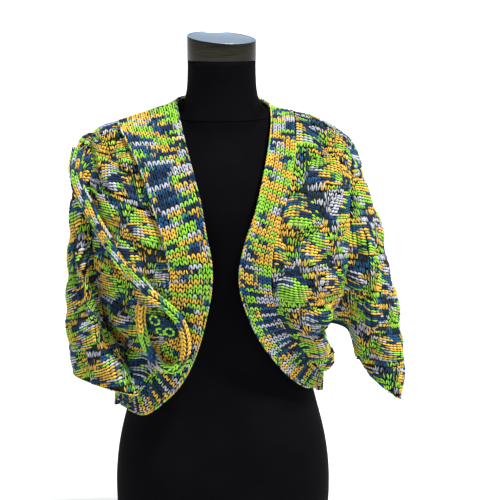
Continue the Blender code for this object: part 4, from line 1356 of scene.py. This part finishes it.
# Across and up, as seen from the front
STRAP_ROUTE = (
    (-224, 702), (-229, 674), (-223, 647), (-210, 622), (-195, 597), (-177, 570),
    (-158, 547), (-137, 522), (-120, 505), (-108, 492),
)
LOOP_ROUTE = (
    (-94, 481), (-77, 465), (-62, 446), (-55, 424), (-54, 401), (-60, 380), (-75, 367), (-94, 370),
    (-108, 386), (-117, 408), (-122, 431), (-124, 453), (-122, 471),
)


def search_tree(*names):
    """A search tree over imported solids, in millimetres."""
    points, faces = [], []
    for name in names:
        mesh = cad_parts[name].data
        base = len(points)
        points.extend(v.co / MM for v in mesh.vertices)
        faces.extend([tuple(base + v for v in face.vertices) for face in mesh.polygons])
    return BVHTree.FromPolygons(points, faces)


def see_through(tree, route):
    """The middle of a solid and the way its front faces, at points seen from the front."""
    places, middles, facings = [], [], []
    for number, (x, z) in enumerate(route):
        front, normal = tree.ray_cast(Vector((x, LOOK_FROM, z)), Vector((0, 1, 0)))[:2]
        back = tree.ray_cast(Vector((x, -LOOK_FROM, z)), Vector((0, -1, 0)))[0]
        if front is not None and back is not None:
            places.append(number)
            middles.append((front[1] + back[1]) / 2)
            facings.append(np.array(normal))
    numbers = np.arange(len(route))
    x, z = np.array(route, float).T
    path = np.stack([x, np.interp(numbers, places, middles), z], axis=-1)
    return path, unit(between(numbers, places, np.array(facings)))


tie_route = smooth_rows(STRAP_ROUTE + LOOP_ROUTE, TIE_STEPS)
strap_count = (len(STRAP_ROUTE) - 1) * TIE_STEPS + 1
tie_path, tie_facing = see_through(search_tree("tie_strap", "tie_loop"), tie_route)
narrow = np.clip((strap_count - np.arange(len(tie_route))) / (2 * TIE_STEPS), 0, 1)
tie_sizes = np.stack([CORD_THICK + (STRAP_WIDTH - CORD_THICK) * narrow,
                      CORD_THICK + (STRAP_THICK - CORD_THICK) * narrow], axis=-1) / 2
tie_path = smooth_rows(tie_path, TIE_FINE)
tie_facing = unit(smooth_rows(tie_facing, TIE_FINE))
tie_sizes = smooth_rows(tie_sizes, TIE_FINE)
junction = (strap_count - 1) * TIE_FINE
print("tie points:", len(tie_path), "of which strap", junction + 1)


# %% Core and stitches of a knitted cord
# How deep the core lies under the cord's surface, and how deep the stitches do
CORE_INSET, STITCH_INSET = 1.6, 1.28
CORE_SIDES, OUTLINE_STEPS = 12, 720
CORD_LEGS, CORD_HEIGHT, CORD_OVERLAP = (0.24, 0.46), 2.9, 1.04
# Columns, height of a stitch, start on the yarn, and steps along the yarn up and across the cord
STRAP_KNIT = (6, 6.2, 4100, 3, 97)
LOOP_KNIT = (4, 7.0, 8090, 2, 1)


def cord_frames(path, facing):
    """Ways ahead, sideways and out of the front at each point of a path."""
    ahead = unit(np.gradient(path, axis=0))
    face = unit(facing - ahead * np.sum(facing * ahead, axis=1, keepdims=True))
    return ahead, np.cross(ahead, face), face


def closed_tube(name, rings, finish):
    """A closed body through rings of points, a fan at each end, its faces outwards."""
    count = len(rings[0])
    ends = [np.mean(rings[0], axis=0), np.mean(rings[-1], axis=0)]
    points = np.concatenate([np.concatenate(rings), ends])
    faces = []
    for i in range(len(rings) - 1):
        for j in range(count):
            a, b = i * count + j, i * count + (j + 1) % count
            faces.append((a, b, b + count, a + count))
    last = (len(rings) - 1) * count
    faces += [(len(points) - 2, (j + 1) % count, j) for j in range(count)]
    faces += [(len(points) - 1, last + j, last + (j + 1) % count) for j in range(count)]
    mesh = bpy.data.meshes.new(name)
    mesh.from_pydata((points * MM).tolist(), [], faces)
    mesh.materials.append(finish)
    mesh.shade_smooth()
    made = add_object(name, mesh)
    face_outwards(made)
    return made


def oval_rings(path, side, face, sizes, count):
    """An oval of points round each point of a path."""
    angles = np.linspace(0, 2 * math.pi, count, endpoint=False)
    return [np.array([p + s * w * math.cos(a) + f * h * math.sin(a) for a in angles])
            for p, s, f, (w, h) in zip(path, side, face, sizes)]


def knitted_cord(name, part, columns, course, start, dye_step, column_step):
    """A near-black core of painted shade and columns of knit stitches round it, along a part of the tie.
    """
    path, facing, sizes = tie_path[part], tie_facing[part], tie_sizes[part]
    ahead, side, face = cord_frames(path, facing)
    core = closed_tube(name, oval_rings(path, side, face, sizes - CORE_INSET, CORE_SIDES), core_shade_finish)
    distance = distances(path)
    courses = round(distance[-1] / course)
    at = (np.arange(courses) + 0.5) * distance[-1] / courses
    middle, t, s, f, size = (between(at, distance, field) for field in (path, ahead, side, face, sizes))
    knitting = Knitting()
    turn = np.linspace(0, 2 * math.pi, OUTLINE_STEPS + 1)
    for column in range(columns):
        origins, acrosses, outs = [], [], []
        for k in range(courses):
            w, h = size[k] - STITCH_INSET
            around = distances(np.stack([w * np.sin(turn), h * np.cos(turn)], axis=-1))
            a = np.interp((column + 0.5) / columns * around[-1], around, turn)
            out = unit(s[k] * math.sin(a) / w + f[k] * math.cos(a) / h)
            origins.append(middle[k] + s[k] * w * math.sin(a) + f[k] * h * math.cos(a))
            acrosses.append(np.cross(out, t[k]) * around[-1] / columns * CORD_OVERLAP)
            outs.append(out * CORD_HEIGHT)
        dye = yarn_colours(start + dye_step * np.arange(courses) + column_step * column)
        knitting.add(knit_legs(leg_shapes["full"], *CORD_LEGS), np.array(origins), np.array(acrosses),
                     unit(t) * distance[-1] / courses, np.array(outs), dye)
    return core, knitting.join(name + "_stitches", yarn), distance[-1]


# Near black: painted shade for the gaps between the stitches of the tie and of the leaf
core_shade_finish = principled("painted_shade_core", (0.020, 0.035, 0.030), 0.95)[0]
strap, strap_stitches, strap_length = knitted_cord("strap", slice(junction + 1), *STRAP_KNIT)
loop, loop_stitches, loop_length = knitted_cord("loop", slice(junction, None), *LOOP_KNIT)
print("strap", round(strap_length), "mm long, loop", round(loop_length), "mm long")

# %% [markdown]
# ## The leaf tab
#
# A small leaf lies under the loop, knitted in navy, with rings of lime chain stitches sewn on it.
# It is a little fuller in the middle than at its rim. Rows of stitches run across it, as many to
# a row as its width takes.

# %% Leaf tab
LEAF_MIDDLE, LEAF_TURN = (-90, 436), math.radians(-36)
LEAF_LENGTH, LEAF_WIDTH, LEAF_THICK = 56.0, 34.0, 7.0
LEAF_SECTIONS, LEAF_SIDES = 29, 24
# How blunt the tips are, how full the outline and the side view are, and how much of its
# thickness and of its width the leaf itself takes up under its stitches
LEAF_TIP, LEAF_FULLNESS = 0.04, (0.8, 0.5)
LEAF_CROWN, LEAF_CORE, LEAF_REACH, LEAF_LOWEST = 0.7, 0.94, 0.93, 0.05
# Width, height and thickness of a stitch, and how many stitches there are to each blue one
LEAF_STITCH, LEAF_BLUE, LEAF_SHADE = (5.4, 4.4, 2.2), 5, (0.1, 0.08)
# Middle along and across the leaf, and the half length and half width, of each ring
LEAF_RINGS = ((-15.5, -3.0, 7.5, 6.0), (1.5, 7.5, 6.5, 4.6), (12.5, -1.0, 7.5, 6.2))
# A link of a ring: its length, width and thickness, and how it is stretched and raised
RING_STITCH, RING_PLUMP, RING_THICK = 6.0, 4.0, 3.0
LINK_SCALE, LINK_RAISE = (1.0, 1.1, 0.9), (0, 0, 0.75)

leaf_along = np.array([math.cos(LEAF_TURN), math.sin(LEAF_TURN)])
leaf_shares = np.linspace(0, 1, LEAF_SECTIONS)
leaf_spots = [np.array(LEAF_MIDDLE) + leaf_along * (t - 0.5) * LEAF_LENGTH for t in leaf_shares]
leaf_path, leaf_facing = see_through(search_tree("leaf_tab"), leaf_spots)
leaf_facing = unit(np.mean(leaf_facing, axis=0))[None] * np.ones((LEAF_SECTIONS, 1))
swell = np.sin(math.pi * (LEAF_TIP + (1 - 2 * LEAF_TIP) * leaf_shares))
leaf_sizes = np.stack([swell ** LEAF_FULLNESS[0] * LEAF_WIDTH / 2,
                       swell ** LEAF_FULLNESS[1] * LEAF_THICK / 2 * LEAF_CROWN], axis=-1)
leaf_ahead, leaf_side, leaf_face = cord_frames(leaf_path, leaf_facing)
leaf_rings = oval_rings(leaf_path, leaf_side, leaf_face, leaf_sizes * (LEAF_CORE, 1), LEAF_SIDES)
# The leaf's body under its stitches is the same painted shade
leaf = closed_tube("leaf", leaf_rings, core_shade_finish)


def leaf_spot(along, side):
    """A place on the leaf's front, the way out and the way along there."""
    place = min(max((along / LEAF_LENGTH + 0.5) * (LEAF_SECTIONS - 1), 0), LEAF_SECTIONS - 1.001)
    i = int(place)
    w, h = leaf_sizes[i]
    x = min(max(side / w, -1), 1)
    crown = math.sqrt(max(1 - x * x, LEAF_LOWEST))
    out = unit(leaf_side[i] * x * h / w + leaf_face[i] * crown)
    middle = leaf_path[i] + (leaf_path[i + 1] - leaf_path[i]) * (place - i)
    return middle + leaf_side[i] * x * w * LEAF_REACH + leaf_face[i] * h * crown, out, leaf_ahead[i]


def add_one(parts, spot, across, up, out, dye, spread):
    """One more stitch of the leaf, in a shade of one dye."""
    shade = random.normal(1.0, spread) * np.array(DYE[dye])
    leaf_knitting.add(parts, spot[None], across[None], up[None], out[None],
                      np.broadcast_to(shade, (1, len(parts), 3)))


leaf_knitting = Knitting()
for k in range(1, round(LEAF_LENGTH / LEAF_STITCH[1])):
    along = k * LEAF_STITCH[1] - LEAF_LENGTH / 2
    w = leaf_sizes[round((along / LEAF_LENGTH + 0.5) * (LEAF_SECTIONS - 1))][0]
    columns = max(1, round(2 * w / LEAF_STITCH[0]))
    for column in range(columns):
        spot, out, ahead = leaf_spot(along, ((column + 0.5) / columns * 2 - 1) * w)
        dye = "blue" if (k + 2 * column) % LEAF_BLUE == 0 else "navy"
        add_one(knit_legs(leg_shapes["full"], *PLAIN_LEGS), spot, np.cross(out, ahead) * 2 * w / columns,
                ahead * LEAF_STITCH[1], out * LEAF_STITCH[2], dye, LEAF_SHADE[0])

chain_points, chain_faces, chain_uv = leg_shapes["full"]
chain_link = [(chain_points * LINK_SCALE + LINK_RAISE, chain_faces, chain_uv)]
for middle_along, middle_side, half_length, half_width in LEAF_RINGS:
    links = round(math.pi * (half_length + half_width) / RING_STITCH)
    for a in np.arange(links) * 2 * math.pi / links:
        spot, out, ahead = leaf_spot(middle_along + half_length * math.cos(a),
                                     middle_side + half_width * math.sin(a))
        side = np.cross(ahead, out)
        way = unit(side * half_width * math.cos(a) - ahead * half_length * math.sin(a))
        add_one(chain_link, spot, way * RING_STITCH, np.cross(out, way) * RING_PLUMP, out * RING_THICK,
                "lime", LEAF_SHADE[1])
leaf_stitches = leaf_knitting.join("leaf_stitches", yarn)
print("leaf: stitches and rings with", len(leaf_knitting.faces), "faces")

# %% [markdown]
# ## The dress form
#
# The form is padded and covered in tight black jersey, with one sewn line round the foot of its
# neck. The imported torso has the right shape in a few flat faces, so a copy of it is merged,
# turned back into four-sided faces and subdivided. The sharp edge of its base is creased first,
# or the subdivision would round it off.


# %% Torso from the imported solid
def jersey_material():
    """Fine black knit: close ribs as bumps, and a faint unevenness in its colour."""
    made, shader = principled("black_jersey", (0.002, 0.002, 0.003), 0.85, Sheen_Weight=0.005,
                              Sheen_Roughness=0.4, Specular_IOR_Level=0.04)
    spot = add_node(made, "TexCoord")
    rib = add_node(made, "TexWave", Scale=260.0, Distortion=1.5, Detail=1.0)
    wear = add_node(made, "TexNoise", Scale=9.0, Detail=3.0)
    ramp = ramp_of(made, ((0.35, (0.0012, 0.0012, 0.0018)), (0.7, (0.0026, 0.0025, 0.0036))))
    wire(made, (spot, "Object", rib, "Vector"), (spot, "Object", wear, "Vector"),
         (wear, "Fac", ramp, "Fac"), (ramp, "Color", shader, "Base Color"))
    add_bump(made, shader, rib, "Fac", 0.25, 0.0004)
    return made


torso = add_object("torso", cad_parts["form_torso"].data.copy())
pick(torso)
bpy.ops.object.mode_set(mode="EDIT")
bpy.ops.mesh.select_all(action="SELECT")
bpy.ops.mesh.remove_doubles(threshold=0.00001)
bpy.ops.mesh.tris_convert_to_quads()
bpy.ops.mesh.select_all(action="DESELECT")
bpy.ops.mesh.edges_select_sharp(sharpness=math.radians(60))
bpy.ops.transform.edge_crease(value=1.0)
bpy.ops.object.mode_set(mode="OBJECT")
smoother = torso.modifiers.new("smooth", "SUBSURF")
smoother.levels = smoother.render_levels = 2
bpy.ops.object.modifier_apply(modifier="smooth")
torso.data.materials.clear()
jersey = jersey_material()
torso.data.materials.append(jersey)
bpy.ops.object.shade_smooth()
print("torso faces:", len(torso.data.polygons))

# %% [markdown]
# The sewn line lies on the torso all round, so it is cut out of the torso itself: a level cut
# through a copy leaves a closed line of edges, which becomes a thin round cord.

# %% Sewn line at the foot of the neck
SEAM_LEVEL = 0.747
SEAM_RADIUS = 0.0011

cut = bmesh.new()
cut.from_mesh(torso.data)
everything = cut.verts[:] + cut.edges[:] + cut.faces[:]
sliced = bmesh.ops.bisect_plane(cut, geom=everything, plane_co=(0, 0, SEAM_LEVEL), plane_no=(0, 0, 1))
line_edges = [e for e in sliced["geom_cut"] if isinstance(e, bmesh.types.BMEdge)]
line_points = sorted({v for e in line_edges for v in e.verts}, key=lambda v: math.atan2(v.co.y, v.co.x))
line_places = [tuple(v.co) for v in line_points]
cut.free()
seam_curve = bpy.data.curves.new("neck_seam", "CURVE")
seam_curve.dimensions = "3D"
seam_curve.bevel_depth = SEAM_RADIUS
seam_curve.bevel_resolution = 1
spline = seam_curve.splines.new("POLY")
spline.points.add(len(line_places) - 1)
for point, place in zip(spline.points, line_places):
    point.co = (*place, 1.0)
spline.use_cyclic_u = True
neck_line = add_object("neck_line", seam_curve)
pick(neck_line)
bpy.ops.object.convert(target="MESH")
neck_line = bpy.context.object
neck_line.data.materials.append(jersey)
bpy.ops.object.shade_smooth()
print("sewn line:", len(line_places), "points round")

# %% [markdown]
# ## The neck cap
#
# A short metal drum closes the neck, a little tilted. Its top is brushed, inside a thin turned rim,
# and painted pale blue as a painted reflection of the sky; its side is brushed round and painted
# near black as painted shade. It starts as a cylinder. The top face is inset for the rim and the
# inner part is sunk, and the edges are bevelled so that they catch light.

# %% Neck cap
CAP_WIDTH, CAP_DEPTH, CAP_HEIGHT = 109.0, 96.0, 36.0
NECK_TOP, SEAM_GAP = 838.0, 0.3
CAP_TILT = (math.radians(-9), math.radians(4))
CAP_RIM, CAP_STEP, CAP_SINK, CAP_EDGE = 3.2, 0.5, 1.0, 0.9
CAP_SIDES = 96
# One brushed steel: the top's pale blue is a painted reflection of the sky, the side's near black is
# painted shade
# Name, colour, colour of the dark streaks, roughness, and how the grain is squeezed along each axis
CAP_METALS = (
    ("cap_side_painted_shade", (0.040, 0.036, 0.027), (0.013, 0.011, 0.008), 0.40, (1, 1, 40)),
    ("cap_top_painted_sky", (0.36, 0.48, 0.61), (0.26, 0.36, 0.48), 0.36, (1, 24, 1)),
)


def brushed_metal(name, colour, dark, roughness, squeeze):
    """Metal with a fine grain in its colour, its gloss and its surface."""
    made, shader = principled(name, colour, roughness, Metallic=0.9)
    spot = add_node(made, "TexCoord")
    turn = add_node(made, "Mapping", Scale=squeeze)
    grain = add_node(made, "TexNoise", Scale=30.0, Detail=4.0)
    tint = ramp_of(made, ((0.3, dark), (0.7, colour)))
    gloss = add_node(made, "MapRange", To_Min=roughness - 0.08, To_Max=roughness + 0.1)
    wire(made, (spot, "Object", turn, "Vector"), (turn, "Vector", grain, "Vector"),
         (grain, "Fac", tint, "Fac"), (tint, "Color", shader, "Base Color"),
         (grain, "Fac", gloss, "Value"), (gloss, "Result", shader, "Roughness"))
    add_bump(made, shader, grain, "Fac", 0.12, 0.0003)
    return made


bpy.ops.object.select_all(action="DESELECT")
cap_base = NECK_TOP + SEAM_GAP
bpy.ops.mesh.primitive_cylinder_add(vertices=CAP_SIDES, radius=CAP_WIDTH / 2 * MM, depth=CAP_HEIGHT * MM,
                                    location=(0, 0, (cap_base + CAP_HEIGHT / 2) * MM))
cap = bpy.context.object
cap.name = "neck_cap"
bpy.ops.object.transform_apply(location=True, rotation=True, scale=True)
bpy.ops.object.mode_set(mode="EDIT")
bpy.ops.mesh.select_all(action="SELECT")
bpy.ops.transform.resize(value=(1, CAP_DEPTH / CAP_WIDTH, 1), center_override=(0, 0, 0))
bpy.ops.mesh.select_all(action="DESELECT")
bpy.ops.object.mode_set(mode="OBJECT")
for face in cap.data.polygons:
    face.select = face.normal.z > 0.9
bpy.ops.object.mode_set(mode="EDIT")
bpy.ops.mesh.select_mode(type="FACE")
bpy.ops.mesh.inset(thickness=CAP_RIM * MM)
bpy.ops.mesh.inset(thickness=CAP_STEP * MM)
bpy.ops.transform.translate(value=(0, 0, -CAP_SINK * MM))
bpy.ops.object.mode_set(mode="OBJECT")
rounding = cap.modifiers.new("round", "BEVEL")
rounding.width = CAP_EDGE * MM
rounding.segments = 3
rounding.limit_method = "ANGLE"
rounding.angle_limit = math.radians(50)
bpy.ops.object.modifier_apply(modifier="round")
for vertex in cap.data.vertices:
    share = (vertex.co.z / MM - cap_base) / CAP_HEIGHT
    vertex.co.z += share * (math.tan(CAP_TILT[0]) * -vertex.co.y - math.tan(CAP_TILT[1]) * vertex.co.x)
for metal in CAP_METALS:
    cap.data.materials.append(brushed_metal(*metal))
# Faces that look up get the painted sky reflection, the others the painted shade
for face in cap.data.polygons:
    face.material_index = 1 if face.normal.z > 0.5 else 0
bpy.ops.object.shade_smooth_by_angle(angle=math.radians(35))
print("cap faces:", len(cap.data.polygons))

# %% [markdown]
# ## What the floor and the lights do
#
# A wide pale floor throws light back up, and its edge is too far away to show. The bright soft
# lamp stands high on the right, so each stitch has a lit side and a shaded one. A weaker one
# stands behind, for the views from there. The sky is bright only near the horizon, where it is
# the backdrop, and dim above, so that the shade stays deep.

# %% Floor, lights and the sky
FLOOR_SIZE, FLOOR_DROP, FLOOR_COLOUR = 300.0, 0.0005, (0.78, 0.78, 0.79)
# Name, degrees to the camera's right, degrees up, strength, and how wide the lamp is in degrees
LAMPS = (("key_lamp", 48, 66, 5.8, 8), ("back_lamp", 190, 55, 0.7, 60))
SKY_COLOUR = (0.93, 0.96, 1.0, 1.0)
# The sky's strength falls between these two heights of the way looked, from one value to the other
SKY_FADE = {"From_Min": 0.17, "From_Max": 0.27, "To_Min": 1.03, "To_Max": 0.17}

bpy.ops.object.select_all(action="DESELECT")
bpy.ops.mesh.primitive_circle_add(vertices=96, radius=FLOOR_SIZE, fill_type="NGON",
                                  location=(0, 0, -FLOOR_DROP))
floor = bpy.context.object
floor.name = "floor"
floor.data.materials.append(principled("pale_floor", FLOOR_COLOUR, 0.9)[0])


def soft_sun(name, side, rise, strength, softness):
    """A lamp at the same strength everywhere: to the camera's right by side, up by rise."""
    lamp = bpy.data.lights.new(name, "SUN")
    lamp.energy = strength
    lamp.angle = math.radians(softness)
    made = add_object(name, lamp)
    side, rise = math.radians(side), math.radians(rise)
    place = Vector((math.sin(side) * math.cos(rise), -math.cos(side) * math.cos(rise), math.sin(rise)))
    made.rotation_euler = place.to_track_quat("Z", "Y").to_euler()


for lamp in LAMPS:
    soft_sun(*lamp)
world = bpy.data.worlds.new("pale_sky")
bpy.context.scene.world = world
world.use_nodes = True
sky = world.node_tree.nodes["Background"]
sky.inputs["Color"].default_value = SKY_COLOUR
way = add_node(world, "TexCoord")
height = add_node(world, "SeparateXYZ")
fade = add_node(world, "MapRange", **SKY_FADE)
wire(world, (way, "Generated", height, "Vector"), (height, "Z", fade, "Value"),
     (fade, "Result", sky, "Strength"))
bpy.context.scene.view_settings.view_transform = "Standard"

# %% [markdown]
# ## Hand the pieces over
#
# Each piece is attached to the root body, and the imported solid that it stands for, if any, is
# hidden.


def hand_over(piece, node=None):
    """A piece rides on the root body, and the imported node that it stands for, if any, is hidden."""
    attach(piece, "root")
    if node:
        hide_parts(node)


for name, cloth in cloths.items():
    piece = cloth_objects[name]
    hand_over(piece, name)
    hand_over(stitches[name])

for piece, slot, node in ((strap, "yarn_tie", "tie_strap"), (loop, "yarn_tie", "tie_loop"),
                          (leaf, "yarn_leaf", "leaf_tab"), (torso, "jersey", "form_torso"),
                          (cap, "steel", "form_cap"), (strap_stitches, "yarn_tie", None),
                          (loop_stitches, "yarn_tie", None), (leaf_stitches, "yarn_leaf", None),
                          (neck_line, "jersey", None)):
    hand_over(piece, node)
